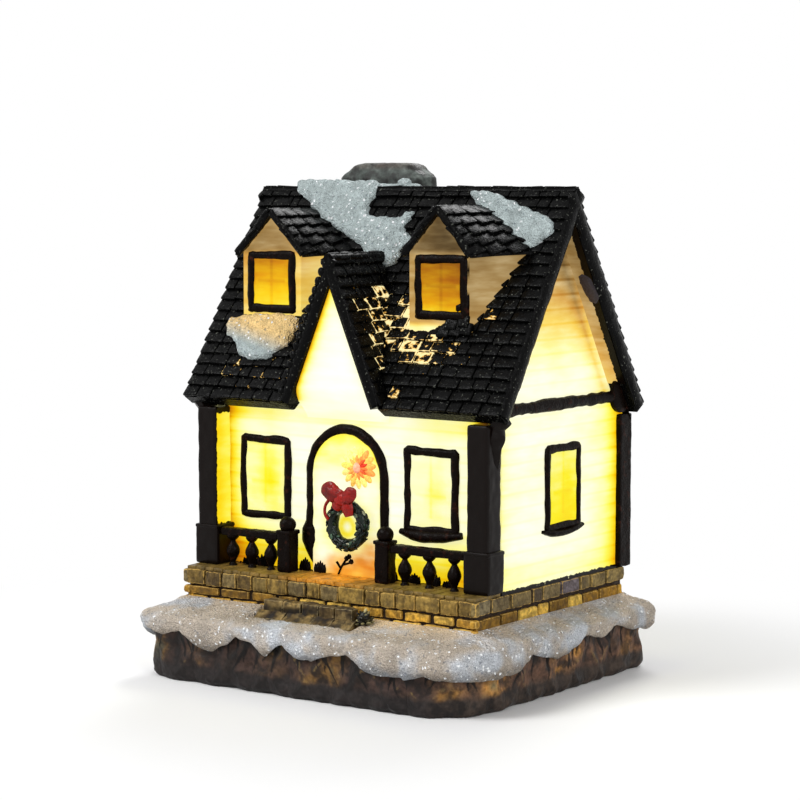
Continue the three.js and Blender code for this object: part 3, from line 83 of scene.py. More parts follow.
def linear(text):
    """A colour written as sRGB hex, turned to linear red, green, blue and 1."""
    value = np.array([int(text[k : k + 2], 16) for k in (1, 3, 5)]) / 255
    value = np.where(value <= 0.04045, value / 12.92, ((value + 0.055) / 1.055) ** 2.4)
    return (*map(float, value), 1.0)


def tone(text):
    """Linear red, green and blue of a colour written as sRGB hex."""
    return np.array(linear(text)[:3])


def ramp(value, stops):
    """Colours for an array of values, by straight lines between [value, hex colour] stops."""
    places = [at for at, _ in stops]
    tones = np.array([tone(text) for _, text in stops])
    return np.stack([np.interp(value, places, tones[:, k]) for k in range(3)], -1)


def mixed(low, high, share):
    """One paint over another, by the share of the upper one at each point."""
    share = np.asarray(share)[..., None]
    return low * (1 - share) + high * share


# Resin lit from inside, from its thickest to its thinnest: on the walls, on the gables and dormers, and in panes
LIT = [
    (0.0, "#6a4a18"), (0.14, "#a87824"), (0.26, "#d89a1c"), (0.38, "#f0b81a"), (0.5, "#fbdc24"), (0.62, "#fff260"),
    (0.74, "#fffbae"), (0.88, "#fffddc"), (1.0, "#fffef0"),
]
LIT_PALE = [
    (0.0, "#54462c"), (0.2, "#86704a"), (0.4, "#b09462"), (0.6, "#ddb468"), (0.75, "#f6dc7c"), (0.88, "#fff6b4"),
    (1.0, "#fffeea"),
]
PANE = [(0.0, "#9c6402"), (0.3, "#c88c06"), (0.55, "#ecb60c"), (0.75, "#fcd820"), (1.0, "#fff468")]
MID_GREY = (0.5, 0.5, 0.5)


# Noise and curves


def xyz(x, y, z):
    """Points from their coordinates, whose shapes fit together."""
    return np.stack(np.broadcast_arrays(x, y, z), -1)


def unit(vectors):
    """Vectors scaled to a length of 1."""
    return vectors / np.linalg.norm(vectors, axis=-1, keepdims=True)


def around(count):
    """Angles of even steps round a circle."""
    return np.linspace(0, 2 * np.pi, count, endpoint=False)


def grain(points, size, seed=0.0):
    """Value noise from -1 to 1: hashed values at the corners of a cubic lattice, blended by smoothsteps."""
    place = np.asarray(points, float) / size + seed
    base = np.floor(place)
    part = place - base
    part = part * part * (3 - 2 * part)
    total = 0.0
    for corner in np.ndindex(*(2,) * place.shape[-1]):
        corner = np.array(corner)
        hashed = np.sin((base + corner) @ np.array([127.1, 311.7, 74.7])[: place.shape[-1]]) * 43758.5453
        weight = np.where(corner == 1, part, 1 - part).prod(-1)
        total = total + weight * (2 * (hashed - np.floor(hashed)) - 1)
    return total


def rough(points, size, seed=0.0):
    """Three octaves of value noise, each half the size and strength of the one before."""
    return sum(grain(points, size / 2**k, seed + 7.3 * k) / 2**k for k in range(3)) / 1.75


def fade(value, low, high):
    """Smoothstep: 0 below low, 1 above high."""
    t = np.clip((value - low) / (high - low), 0, 1)
    return t * t * (3 - 2 * t)


def bell(distance, width):
    """Gauss curve: 1 at no distance, 0.37 at the width."""
    return np.exp(-((distance / width) ** 2))


def curve(knots, count, closed=False):
    """Catmull-Rom curve through the knots, sampled evenly in knot number."""
    knots = np.asarray(knots, float)
    n = len(knots)
    at = np.linspace(0, n if closed else n - 1, count, endpoint=not closed)
    i = np.minimum(at.astype(int), n - 1 if closed else n - 2)
    f = (at - i).reshape((-1,) + (1,) * (knots.ndim - 1))
    a, b, c, d = (knots[(i + k) % n] if closed else knots[np.clip(i + k, 0, n - 1)] for k in (-1, 0, 1, 2))
    return b + 0.5 * f * (c - a + f * (2 * a - 5 * b + 4 * c - d + f * (3 * (b - c) + d - a)))


def walked(path):
    """Distance along a path to each of its points."""
    return np.concatenate([[0], np.cumsum(np.linalg.norm(np.diff(path, axis=0), axis=1))])


def even(path, step, closed=False):
    """A path resampled by straight lines at even distances."""
    path = np.concatenate([path, path[:1]]) if closed else np.asarray(path, float)
    run = walked(path)
    at = np.linspace(0, run[-1], max(3, int(round(run[-1] / step)) + 1))
    points = np.stack([np.interp(at, run, path[:, k]) for k in range(path.shape[1])], 1)
    return points[:-1] if closed else points


def beside(path, closed=True):
    """Directions at right angles to a flat path, on its right hand."""
    along = np.roll(path, -1, 0) - np.roll(path, 1, 0)
    if not closed:
        along[0], along[-1] = path[1] - path[0], path[-1] - path[-2]
    return unit(np.stack([along[:, 1], -along[:, 0]], 1))


def spans(edges, gap):
    """Middles and half lengths of what lies between edges, less a gap at both ends."""
    return (edges[1:] + edges[:-1]) / 2, (edges[1:] - edges[:-1]) / 2 - gap


# Planes that paint and boards lie on: origin, across, up and out.


def upright(x, y, z=0.0, across=(1, 0, 0)):
    """An upright plane through a point. It faces the front, unless its direction across says otherwise."""
    return np.array([(x, y, z), across, (0, 0, 1), np.cross(across, (0, 0, 1))], float)


def on(face, across, up, out=0.0):
    """Points of a plane from their distances across, up and out of it."""
    across, up, out = np.broadcast_arrays(across, up, out)
    return face[0] + across[..., None] * face[1] + up[..., None] * face[2] + out[..., None] * face[3]


def slope(side):
    """The main roof's front (-1) or rear (1) slope, whose up direction runs down from the ridge."""
    run, fall = (19.4, 30.4) if side < 0 else (19.1, 31.4)
    length = math.hypot(run, fall)
    c, s = run / length, fall / length
    return np.array([(0, RIDGE_Y, RIDGE_Z), (1, 0, 0), (0, side * c, -s), (0, side * s, c)], float)


def gable_slope(side):
    """The front gable's left (-1) or right (1) slope, whose up direction runs down from its ridge."""
    c, s = 1 / GABLE_UNIT, GABLE_PITCH / GABLE_UNIT
    return np.array([(GABLE_X, 0, GABLE_PEAK), (0, 1, 0), (side * c, 0, -s), (side * s, 0, c)])


FRONT = upright(0, FRONT_WALL_Y - 0.2)
REAR = upright(0, REAR_WALL_Y + 0.2, across=(-1, 0, 0))
RIGHT = upright(HOUSE_SIDE + 0.2, 0, across=(0, 1, 0))
LEFT = upright(-HOUSE_SIDE - 0.2, 0, across=(0, -1, 0))
FRONT_SLOPE, REAR_SLOPE = slope(-1), slope(1)


def roof_height(y):
    """Height of the front slope's top at a depth."""
    return RIDGE_Z - (RIDGE_Y - y) * FRONT_PITCH


def rear_height(y):
    """Height of the rear slope's top at a depth."""
    return RIDGE_Z - (y - RIDGE_Y) * REAR_PITCH


def roof_depth(z):
    """Depth of the front slope's top at a height."""
    return RIDGE_Y - (RIDGE_Z - z) / FRONT_PITCH


# Closed surfaces: points, corner numbers, and the paint at each point.


def surface(points, faces, **paint):
    points = np.asarray(points, float).reshape(-1, 3)
    return {"points": points, "faces": [np.asarray(f, int) for f in faces], "paint": paint}


def grid_faces(rows, columns, wrap_rows=False, wrap_columns=False):
    """Corner numbers of a grid's cells, joined round in either direction."""
    r = np.arange(rows if wrap_rows else rows - 1)[:, None]
    c = np.arange(columns if wrap_columns else columns - 1)[None, :]
    below, right = (r + 1) % rows, (c + 1) % columns
    cells = [r * columns + c, r * columns + right, below * columns + right, below * columns + c]
    return np.stack(np.broadcast_arrays(*cells), -1).reshape(-1, 4)


def tube(rings, **paint):
    """A skin over rings of points, closed at both ends by a pole at the end ring's middle."""
    rows, columns = rings.shape[:2]
    points = np.concatenate([rings.reshape(-1, 3), [rings[0].mean(0), rings[-1].mean(0)]])
    here = np.arange(columns)
    after = (here + 1) % columns
    last, pole = (rows - 1) * columns, rows * columns
    low, high = xyz(after, here, pole), xyz(last + here, last + after, pole + 1)
    return surface(points, [grid_faces(rows, columns, False, True), low, high], **paint)


def band(rings, **paint):
    """A skin over rings of points that close into a loop."""
    return surface(rings, [grid_faces(*rings.shape[:2], True, True)], **paint)


def sheet(top, bottom, quads, **paint):
    """Two copies of a patch of cells, joined by walls along every edge that only one cell has."""
    count = len(top)
    edges = np.concatenate([quads[:, [k, (k + 1) % 4]] for k in range(4)])
    key = np.sort(edges, 1) @ np.array([count, 1])
    _, first, times = np.unique(key, return_index=True, return_counts=True)
    rim = edges[first[times == 1]]
    walls = np.stack([rim[:, 1], rim[:, 0], rim[:, 0] + count, rim[:, 1] + count], 1)
    doubled = {k: np.concatenate([v, v]) if np.ndim(v) and len(v) == count else v for k, v in paint.items()}
    return surface(np.concatenate([top, bottom]), [quads, quads[:, ::-1] + count, walls], **doubled)


def slab(face, places, high, low, quads, **paint):
    """A sheet over places on a plane, between two heights off it."""
    return sheet(on(face, *places.T, high), on(face, *places.T, low), quads, **paint)


def patch(outline, step):
    """A square grid trimmed to an outline. Cells that reach inside are kept, and their outside corners
    move to the outline's nearest point. Gives places, distances from the outline, and cells."""
    outline = np.asarray(outline, float)
    low, high = outline.min(0), outline.max(0)
    counts = np.maximum(3, np.ceil((high - low) / step).astype(int) + 1)
    axes = [np.linspace(low[k], high[k], counts[k]) for k in (0, 1)]
    places = np.stack(np.meshgrid(*axes, indexing="ij"), -1).reshape(-1, 2)
    start, end = outline, np.roll(outline, -1, 0)
    along = end - start
    along[np.abs(along) < 1e-9] = 1e-9
    share = np.clip(((places[:, None] - start) * along).sum(-1) / (along**2).sum(-1), 0, 1)
    foot = start + share[..., None] * along
    gap = np.linalg.norm(places[:, None] - foot, axis=-1)
    best = gap.argmin(1)
    crossed = (start[:, 1] > places[:, 1:2]) != (end[:, 1] > places[:, 1:2])
    where = start[:, 0] + (places[:, 1:2] - start[:, 1]) * along[:, 0] / along[:, 1]
    inside = (crossed & (places[:, :1] < where)).sum(1) % 2 == 1
    rows = np.arange(len(places))
    depth = np.where(inside, gap[rows, best], 0)
    places = np.where(inside[:, None], places, foot[rows, best])
    quads = grid_faces(*counts)
    quads = quads[inside[quads].any(1)]
    used, numbers = np.unique(quads, return_inverse=True)
    return places[used], depth[used], numbers.reshape(quads.shape)


def box(x0, x1, z0, z1):
    """The four corners of a rectangle on a plane."""
    return np.array([(x0, z0), (x1, z0), (x1, z1), (x0, z1)], float)


def lattice(counts):
    """Places and cells of the outer layer of a block of lattice corners."""
    number = np.arange(np.prod(counts)).reshape(counts)
    quads = []
    for axis in range(3):
        for side in (0, -1):
            layer = np.take(number, side, axis=axis)
            cells = np.stack([layer[:-1, :-1], layer[1:, :-1], layer[1:, 1:], layer[:-1, 1:]], -1).reshape(-1, 4)
            quads.append(cells[:, ::-1] if (axis == 1) != (side == 0) else cells)
    quads = np.concatenate(quads)
    used, numbers = np.unique(quads, return_inverse=True)
    return np.stack(np.unravel_index(used, counts), 1), numbers.reshape(quads.shape)


def copies(points, quads, centres, axes, tint, cover):
    """Shapes of the same cells, each turned by its axes, moved to its centre and given its tint."""
    n, k = points.shape[:2]
    if axes is not None:
        points = np.einsum("nkj,nji->nki", points, np.broadcast_to(axes, (n, 3, 3)))
    numbers = quads[None] + (np.arange(n) * k)[:, None, None]
    tint = np.repeat(np.broadcast_to(tint, (n, 3)), k, 0)
    return surface(points + centres[:, None], [numbers.reshape(-1, 4)], tint=tint, cover=cover)


def blocks(centres, halves, radius, counts=(4, 4, 4), axes=None, tint=MID_GREY, cover=None, thin=0.0):
    """Blocks with round edges: every lattice corner stands off the block's core by the radius, in the
    direction of its face, edge or corner. Cover is 1 on the edges, where stone is dry-brushed and given a
    painted highlight, or else the given cover of each block, less the given amount on its edges, where paint runs thin."""
    centres = np.atleast_2d(np.asarray(centres, float))
    halves = np.broadcast_to(np.asarray(halves, float), centres.shape)
    index, quads = lattice(counts)
    count = np.array(counts)
    ends = np.where(index == 0, -1, np.where(index == count - 1, 1, 0))
    inner = 2 * np.clip(index - 1, 0, count - 3) / (count - 3) - 1
    r = np.minimum(radius, 0.95 * halves.min(1))[:, None, None]
    points = inner * (halves[:, None] - r) + unit(ends) * r
    n, k = points.shape[:2]
    edge = np.tile((np.abs(ends).sum(1) > 1).astype(float), n)
    if cover is not None:
        edge = np.repeat(np.broadcast_to(cover, (n,)), k) - edge * np.repeat(np.broadcast_to(thin, (n,)), k)
    return copies(points, quads, centres, axes, tint, edge)


def balls(centres, radii, counts=(5, 5, 5), axes=None, tint=MID_GREY, cover=0.0):
    """Ellipsoids: a block lattice pushed out to a unit ball and stretched by three radii."""
    centres = np.atleast_2d(np.asarray(centres, float))
    radii = np.broadcast_to(np.asarray(radii, float), centres.shape)
    index, quads = lattice(counts)
    ball = unit(np.tan((2 * index / (np.array(counts) - 1) - 1) * np.pi / 4))
    return copies(ball * radii[:, None], quads, centres, axes, tint, cover)


def volume(part):
    """Six times the enclosed volume, positive when the faces point outwards."""
    points, total = part["points"], 0.0
    for f in part["faces"]:
        for k in range(1, f.shape[1] - 1):
            total += np.einsum("ij,ij->", points[f[:, 0]], np.cross(points[f[:, k]], points[f[:, k + 1]]))
    return total


def normals(part):
    """Direction of a surface at each point, from the cells round it."""
    points, total = part["points"], np.zeros_like(part["points"])
    for f in part["faces"]:
        across = np.cross(points[f[:, 2]] - points[f[:, 0]], points[f[:, -1]] - points[f[:, 1]])
        for k in range(f.shape[1]):
            np.add.at(total, f[:, k], across)
    total *= 1 if volume(part) > 0 else -1
    return total / np.maximum(np.linalg.norm(total, axis=1, keepdims=True), 1e-12)


def roughened(part, amount, size, seed=0.0):
    """A surface moved along its normals by noise of a size in millimetres."""
    part["points"] = part["points"] + normals(part) * (amount * rough(part["points"], size, seed))[:, None]
    return part


def stroke(face, path, width, height, closed=False, step=0.3, seed=0.0, wobble=0.1, ends=None, **paint):
    """A line of thick paint: a flat-bottomed lens section carried along a path on a plane. The line's
    place and width wander by noise, and ends gives the width at the start and the end."""
    path = even(path, step, closed)
    seeds = path + seed
    path = path + wobble * np.stack([grain(seeds, 2.2), grain(seeds + 31, 2.2)], 1)
    across = beside(path, closed)
    half = 0.5 * width * (1 + 0.16 * grain(seeds + 77, 1.4) + 0.05 * grain(seeds + 5, 0.6))
    lift = np.ones(len(path))
    if ends is not None:
        share, knots = np.linspace(0, 1, len(path)), np.linspace(0, 1, len(ends))
        half = half * np.interp(share, knots, ends)
        lift = np.interp(share, knots, np.minimum(ends, 1))
    angle = around(10)
    rise = np.maximum(np.sin(angle), -0.3) * height * lift[:, None] * (1 + 0.08 * grain(seeds + 9, 0.8))[:, None]
    flat = path[:, None] + (half[:, None] * np.cos(angle))[..., None] * across[:, None]
    rings = on(face, flat[..., 0], flat[..., 1], rise)
    return band(rings, **paint) if closed else tube(rings, **paint)


def make_piece(name, surfaces, finish, replaces=(), smooth=38.0):
    """One object of the house from closed surfaces, each turned so that its faces point outwards."""
    points, corners, sizes_, tints, covers = [], [], [], [], []
    start = 0
    for part in surfaces:
        outward = volume(part) > 0
        for f in part["faces"]:
            corners.append(((f if outward else f[:, ::-1]) + start).ravel())
            sizes_.append(np.full(len(f), f.shape[1]))
        count = len(part["points"])
        points.append(part["points"])
        tints.append(np.broadcast_to(part["paint"].get("tint", MID_GREY), (count, 3)))
        covers.append(np.broadcast_to(part["paint"].get("cover", 0.0), (count,)))
        start += count
    points, corners, sizes_ = np.concatenate(points) * MM, np.concatenate(corners), np.concatenate(sizes_)
    mesh = bpy.data.meshes.new(name)
    mesh.vertices.add(len(points))
    mesh.vertices.foreach_set("co", points.ravel())
    mesh.loops.add(len(corners))
    mesh.loops.foreach_set("vertex_index", corners)
    mesh.polygons.add(len(sizes_))
    mesh.polygons.foreach_set("loop_start", np.concatenate([[0], np.cumsum(sizes_)[:-1]]))
    mesh.update(calc_edges=True)
    tint = np.concatenate([np.concatenate(tints), np.ones((len(points), 1))], 1)
    mesh.attributes.new("tint", "FLOAT_COLOR", "POINT").data.foreach_set("color", tint.ravel())
    mesh.attributes.new("cover", "FLOAT", "POINT").data.foreach_set("value", np.concatenate(covers))
    mesh.materials.append(finish)
    mesh.shade_smooth()
    mesh.set_sharp_from_angle(angle=math.radians(smooth))
    obj = bpy.data.objects.new(name, mesh)
    bpy.context.scene.collection.objects.link(obj)
    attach(obj, "house")
    if replaces:
        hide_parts(*replaces)


# Materials, each a list of node rows: label, kind, settings and links

SMOOTH = {"interpolation_type": "SMOOTHSTEP"}
BLEND = {"data_type": "RGBA"}
AT = {"Vector": "place.Object"}
PLACE = ("place", "TexCoord", {}, {})
TINT = ("tint", "Attribute", {"attribute_name": "tint"}, {})
COVER = ("cover", "Attribute", {"attribute_name": "cover"}, {})
BLACK = (0, 0, 0, 1)


def add_node(tree, kind, settings, links):
    """A node with its settings (a property or an input's value) and its links (an input from an output)."""
    node = tree.nodes.new("ShaderNode" + kind)
    for key, value in settings.items():
        if isinstance(key, str) and hasattr(node, key):
            setattr(node, key, value)
        else:
            node.inputs[key].default_value = value
    for key, source in links.items():
        tree.links.new(node.inputs[key], source)
    return node


def fill_tree(tree, rows):
    """Nodes from rows. A link names a row and one of its outputs, or the row alone for its first output."""
    tree.nodes.clear()
    nodes = {}
    for label, kind, settings, links in rows:
        sources = {}
        for key, text in links.items():
            row, _, output = text.partition(".")
            sources[key] = nodes[row].outputs[int(output) if output.isdigit() else output or 0]
        nodes[label] = add_node(tree, kind, settings, sources)


def new_finish(name, rows):
    """A material from rows, after one that gives the object's coordinates in metres."""
    finish = bpy.data.materials.new(name)
    finish.use_nodes = True
    fill_tree(finish.node_tree, [PLACE, *rows])
    return finish


def coat(bumps, settings, links):
    """A surface's last rows: bumps (source, strength, depth in mm) one over the other, the shader and the output."""
    rows, under = [], {}
    for source, strength, depth in bumps:
        settings_ = {"Strength": strength, "Distance": depth * MM}
        rows.append((source + "_bump", "Bump", settings_, {"Height": source, **under}))
        under = {"Normal": source + "_bump"}
    shader = ("shader", "BsdfPrincipled", settings, {**links, **under})
    return [*rows, shader, ("end", "OutputMaterial", {}, {"Surface": "shader"})]


def per_mm(size):
    """The texture scale that makes a pattern of a size in millimetres."""
    return 1.0 / (size * MM)


def grains(size, detail):
    """Settings of a noise whose grains have a size in millimetres."""
    return {"Scale": per_mm(size), "Detail": detail}


def span(low, high, least=0.0, most=1.0):
    """Settings that turn values from low to high into values from least to most."""
    return {"From Min": low, "From Max": high, "To Min": least, "To Max": most}


def lit_resin(name, board_pitch=0.0, board_low=0.0, glow=0.86, seed=0.0):
    """Polyresin, cast thin and lit from inside, with glossy black acrylic paint over its edges. The
    light comes through unevenly, in faint brush streaks, and the paint's edge is ragged."""
    # Streaks 1.1 mm high and about five times as long
    rows = [
        TINT, COVER, ("wide", "Mapping", {"Scale": (0.22, 0.22, 1.0), "Location": (seed, 0, 0)}, AT),
        ("streak", "TexNoise", grains(1.1, 3.0), {"Vector": "wide"}), ("cloud", "TexNoise", grains(6.0, 2.0), AT),
        ("streaks", "MapRange", span(0.3, 0.7, 0.86, 1.06), {"Value": "streak"}),
        ("clouds", "MapRange", span(0.3, 0.7, 0.93, 1.05), {"Value": "cloud"}),
        ("plain", "Math", {"operation": "MULTIPLY"}, {0: "streaks", 1: "clouds"}),
    ]
    factor, height = "plain", "streak"
    if board_pitch:
        # A board's lower edge shades a line 0.3 mm high
        line = {**span(0.05 * MM, 0.3 * MM, 0.84, 1.0), **SMOOTH}
        rows += [
            ("height", "SeparateXYZ", {}, {0: "place.Object"}),
            ("above", "Math", {"operation": "SUBTRACT", 1: board_low * MM}, {0: "height.Z"}),
            ("saw", "Math", {"operation": "PINGPONG", 1: 0.5 * board_pitch * MM}, {0: "above"}),
            ("line", "MapRange", line, {"Value": "saw"}),
            ("boards", "Math", {"operation": "MULTIPLY"}, {0: "plain", 1: "line"}),
        ]
        factor, height = "boards", "line"
    dim = {**BLEND, "blend_type": "MULTIPLY", 0: 1.0, 7: (0.24, 0.24, 0.24, 1)}
    rows += [
        # Light that passes through more resin loses its blue first, so dim streaks turn yellow
        ("power", "MapRange", span(0.7, 1.1, 1.9, 0.75), {"Value": factor}),
        ("warm", "Gamma", {}, {"Color": "tint", "Gamma": "power"}),
        ("ragged", "TexNoise", grains(0.7, 2.0), AT),
        ("shift", "Math", {"operation": "MULTIPLY_ADD", 1: 0.9, 2: -0.45}, {0: "ragged"}),
        ("sum", "Math", {"operation": "ADD"}, {0: "cover.Fac", 1: "shift"}),
        ("mask", "MapRange", {**span(0.46, 0.54), **SMOOTH}, {"Value": "sum"}),
        ("dim", "Mix", dim, {6: "warm"}),
        ("base", "Mix", {**BLEND, 7: colours().trim_paint}, {0: "mask", 6: "dim.2"}),
        ("light", "Mix", {**BLEND, 7: BLACK}, {0: "mask", 6: "warm"}),
        ("gloss", "MapRange", span(0.0, 1.0, 0.5, 0.32), {"Value": "mask"}),
    ]
    return new_finish(name, rows + coat(
        [(height, 0.25, 0.15), ("mask", 0.6, 0.2)], {"IOR": 1.52, "Specular IOR Level": 0.1, "Emission Strength": glow},
        {"Base Color": "base.2", "Emission Color": "light.2", "Roughness": "gloss"},
    ))


def acrylic_paint(name):
    """Glossy acrylic paint brushed thick over resin: uneven sheen, small pits, and a thin brown
    show-through where the brush has dragged."""
    return new_finish(name, [
        ("brush", "TexNoise", grains(1.08, 4.0), AT), ("fine", "TexNoise", grains(0.27, 2.0), AT),
        ("worn", "MapRange", {**span(0.56, 0.78, 0.0, 0.8), **SMOOTH}, {"Value": "brush"}),
        ("base", "Mix", {**BLEND, 6: colours().trim_paint, 7: linear("#3a1c12")}, {0: "worn"}),
        ("sheen", "MapRange", span(0.3, 0.7, 0.2, 0.52), {"Value": "fine"}),
        *coat(
            [("brush", 0.45, 0.25), ("fine", 0.5, 0.1)], {"IOR": 1.47, "Specular IOR Level": 0.05},
            {"Base Color": "base.2", "Roughness": "sheen"},
        ),
    ])


def leaking_paint(name):
    """The roof's glossy black acrylic over lit resin. Where the paint's cover is low, light leaks
    through in gold specks at the thin spots and along the brush's edge."""
    return new_finish(name, [
        COVER, ("brush", "TexNoise", grains(1.0, 3.0), AT), ("fine", "TexNoise", grains(0.35, 2.0), AT),
        ("bare", "Math", {"operation": "SUBTRACT"}, {0: "brush", 1: "cover.Fac"}),
        ("leak", "MapRange", {**span(0.0, 0.035), **SMOOTH}, {"Value": "bare"}),
        ("open", "MapRange", span(0.02, 0.11), {"Value": "bare"}),
        # Grey flecks: painted glints on the glossy black paint
        ("grey", "MapRange", span(0.66, 0.71, 0.0, 0.6), {"Value": "fine"}),
        ("paint", "Mix", {**BLEND, 6: colours().roof_paint, 7: linear("#6c6e66")}, {0: "grey"}),
        ("base", "Mix", {**BLEND, 7: linear("#7a5a1c")}, {0: "leak", 6: "paint.2"}),
        ("warm", "Mix", {**BLEND, 6: linear("#c9902c"), 7: linear("#fff4b8")}, {0: "open"}),
        ("gold", "Mix", {**BLEND, 6: BLACK}, {0: "leak", 7: "warm.2"}),
        ("sheen", "MapRange", span(0.3, 0.7, 0.14, 0.5), {"Value": "fine"}),
        *coat(
            [("brush", 0.5, 0.2), ("fine", 0.6, 0.12)],
            {"IOR": 1.47, "Specular IOR Level": 0.055, "Emission Strength": 0.95},
            {"Base Color": "base.2", "Roughness": "sheen", "Emission Color": "gold.2"},
        ),
    ])


def glitter_snow(name):
    """Acrylic snow paste with glass grit: matt grains under half a millimetre, a few flakes painted near
    white for their flash, a painted glint, and a few clear ones that look dark. Drawn at their real size of 0.3 to 0.5
    mm."""
    size = in_mm("snow_grain")
    return new_finish(name, [
        TINT, ("grit", "TexVoronoi", {"Scale": per_mm(size)}, AT), ("fine", "TexNoise", grains(0.45 * size, 3.0), AT),
        ("pick", "SeparateColor", {}, {0: "grit.Color"}),
        # Flakes painted near white: painted glints, and smoother there too
        ("flash", "MapRange", span(0.962, 0.98), {"Value": "pick.0"}),
        ("dark", "MapRange", span(0.95, 0.98, 0.0, 0.5), {"Value": "pick.1"}),
        ("shade", "MapRange", span(0.3, 0.7, 0.64, 1.28), {"Value": "fine"}),
        ("grey", "VectorMath", {"operation": "SCALE"}, {0: "tint", "Scale": "shade"}),
        ("specks", "Mix", {**BLEND, 7: linear("#5c6672")}, {0: "dark", 6: "grey"}),
        ("base", "Mix", {**BLEND, 7: linear("#fbfdff")}, {0: "flash", 6: "specks.2"}),
        ("sheen", "MapRange", span(0.0, 1.0, 0.75, 0.12), {"Value": "flash"}),
        *coat(
            [("grit", 1.0, 0.3), ("fine", 0.6, 0.12)], {"IOR": 1.5, "Specular IOR Level": 0.3},
            {"Base Color": "base.2", "Roughness": "sheen"},
        ),
    ])


def washed_stone(name, edge, dark, edge_share, bump_mm, least_rough, dark_share=0.85):
    """Resin painted as stone: a dark wash left in its hollows, dabs of other tones, and a pale dry
    brush along the edges, which is also a painted highlight there."""
    return new_finish(name, [
        TINT, COVER,
        ("coarse", "TexNoise", grains(bump_mm * 3, 4.0), AT), ("fine", "TexNoise", grains(bump_mm, 4.0), AT),
        ("wash", "MapRange", {**span(0.6, 0.36, 0.0, dark_share), **SMOOTH}, {"Value": "coarse"}),
        ("shade", "MapRange", span(0.3, 0.7, 0.6, 1.3), {"Value": "fine"}),
        ("dabs", "VectorMath", {"operation": "SCALE"}, {0: "tint", "Scale": "shade"}),
        ("stained", "Mix", {**BLEND, 7: linear(dark)}, {0: "wash", 6: "dabs"}),
        # Pale dry brush on the edges, which is also a painted highlight
        ("brushed", "Math", {"operation": "MULTIPLY"}, {0: "cover.Fac", 1: "fine"}),
        ("edge", "MapRange", {**span(0.25, 0.5, 0.0, edge_share), **SMOOTH}, {"Value": "brushed"}),
        ("base", "Mix", {**BLEND, 7: linear(edge)}, {0: "edge", 6: "stained.2"}),
        ("sheen", "MapRange", span(0.3, 0.7, least_rough, least_rough + 0.3), {"Value": "coarse"}),
        *coat(
            [("coarse", 0.6, 0.3), ("fine", 0.7, 0.15)], {"IOR": 1.5, "Specular IOR Level": 0.2},
            {"Base Color": "base.2", "Roughness": "sheen"},
        ),
    ])


def tinted_paint(name, roughness, glow=0.0):
    """Thin acrylic colour over resin, in the tones of the point colours, with a soft satin sheen."""
    links = {"Base Color": "dabs", "Roughness": "sheen", **({"Emission Color": "dabs"} if glow else {})}
    return new_finish(name, [
        TINT, ("fine", "TexNoise", grains(0.4, 3.0), AT),
        ("shade", "MapRange", span(0.3, 0.7, 0.7, 1.25), {"Value": "fine"}),
        ("dabs", "VectorMath", {"operation": "SCALE"}, {0: "tint", "Scale": "shade"}),
        ("sheen", "MapRange", span(0.3, 0.7, roughness - 0.1, roughness + 0.2), {"Value": "fine"}),
        *coat([("fine", 0.5, 0.12)], {"IOR": 1.49, "Specular IOR Level": 0.25, "Emission Strength": glow}, links),
    ])


def moulded(name, text, roughness, grain_mm, depth=0.03, spread=0.12, **settings):
    """A moulded, plated or laminated part of the light, with the fine grain of how it was made."""
    full = linear(text)
    darker = (*(0.86 * c for c in full[:3]), 1.0)
    return new_finish(name, [
        ("fine", "TexNoise", grains(grain_mm, 3.0), AT), ("cloud", "TexNoise", grains(7.0, 2.0), AT),
        ("shade", "MapRange", span(0.35, 0.65), {"Value": "cloud"}),
        ("base", "Mix", {**BLEND, 6: darker, 7: full}, {0: "shade"}),
        ("sheen", "MapRange", span(0.3, 0.7, roughness - spread / 2, roughness + spread / 2), {"Value": "fine"}),
        *coat([("fine", 0.3, depth)], settings, {"Base Color": "base.2", "Roughness": "sheen"}),
    ])


# Sizes and colours that a user would change


def length(name, text, value):
    return bpy.props.FloatProperty(name=name, description=text, default=value * MM, min=0.0, unit="LENGTH", precision=5)


def colour(name, text, value):
    return bpy.props.FloatVectorProperty(
        name=name, description=text, default=linear(value), size=4, min=0.0, max=1.0, subtype="COLOR"
    )


class HouseSizes(bpy.types.PropertyGroup):
    shingle_row: length("Shingle row", "How far one row of shingles shows below the next", 1.8)
    shingle_width: length("Shingle width", "Middle width of a shingle", 2.9)
    shingle_rise: length("Shingle rise", "How far a shingle's lower edge stands up", 0.42)
    board_pitch: length("Clapboard pitch", "Height of one clapboard", 2.05)
    brick_length: length("Brick length", "Middle length of a brick in the plinth", 4.5)
    porch_board: length("Porch board", "Width of one board of the porch floor", 1.7)
    line_width: length("Painted line", "Width of the painted lines round windows and door", 1.25)
    line_height: length("Paint thickness", "How far a painted line stands off the wall", 0.42)
    snow_grain: length("Snow grain", "Size of the grit in the snow", 0.3)
    snow_depth: length("Roof snow", "Thickness of the snow on the roof", 1.05)
    leaf_length: length("Wreath leaf", "Length of one leaf of the wreath", 0.85)


class HouseColours(bpy.types.PropertyGroup):
    roof_paint: colour("Roof paint", "Glossy black on the shingles", "#060606")
    trim_paint: colour("Trim paint", "Near-black brown on posts, lines and railings", "#0b0503")
    snow_cool: colour("Snow", "Snow on the roof", "#aebaba")
    snow_base: colour("Snow on the rock", "Snow round the foot of the house", "#b8ac9e")
    snow_warm: colour("Snow by the walls", "Snow that the lit walls warm", "#dcc298")
    slate: colour("Slate", "Dark band along the foot of the rock", "#262120")
    ribbon: colour("Ribbon", "The bow over the wreath", "#a21206")


def in_mm(name):
    """One of the sizes that a user can change, in millimetres."""
    return getattr(bpy.context.scene.house_sizes, name) / MM


def colours():
    return bpy.context.scene.house_colours


def made(name, maker, *values, **named):
    """A finish by its name, made on first use."""
    return bpy.data.materials.get(name) or maker(name, *values, **named)


def trim_finish():
    return made("acrylic_trim_gloss", acrylic_paint)


def roof_finish():
    return made("acrylic_roof_gloss", leaking_paint)


def snow_finish():
    return made("glitter_snow_paste", glitter_snow)


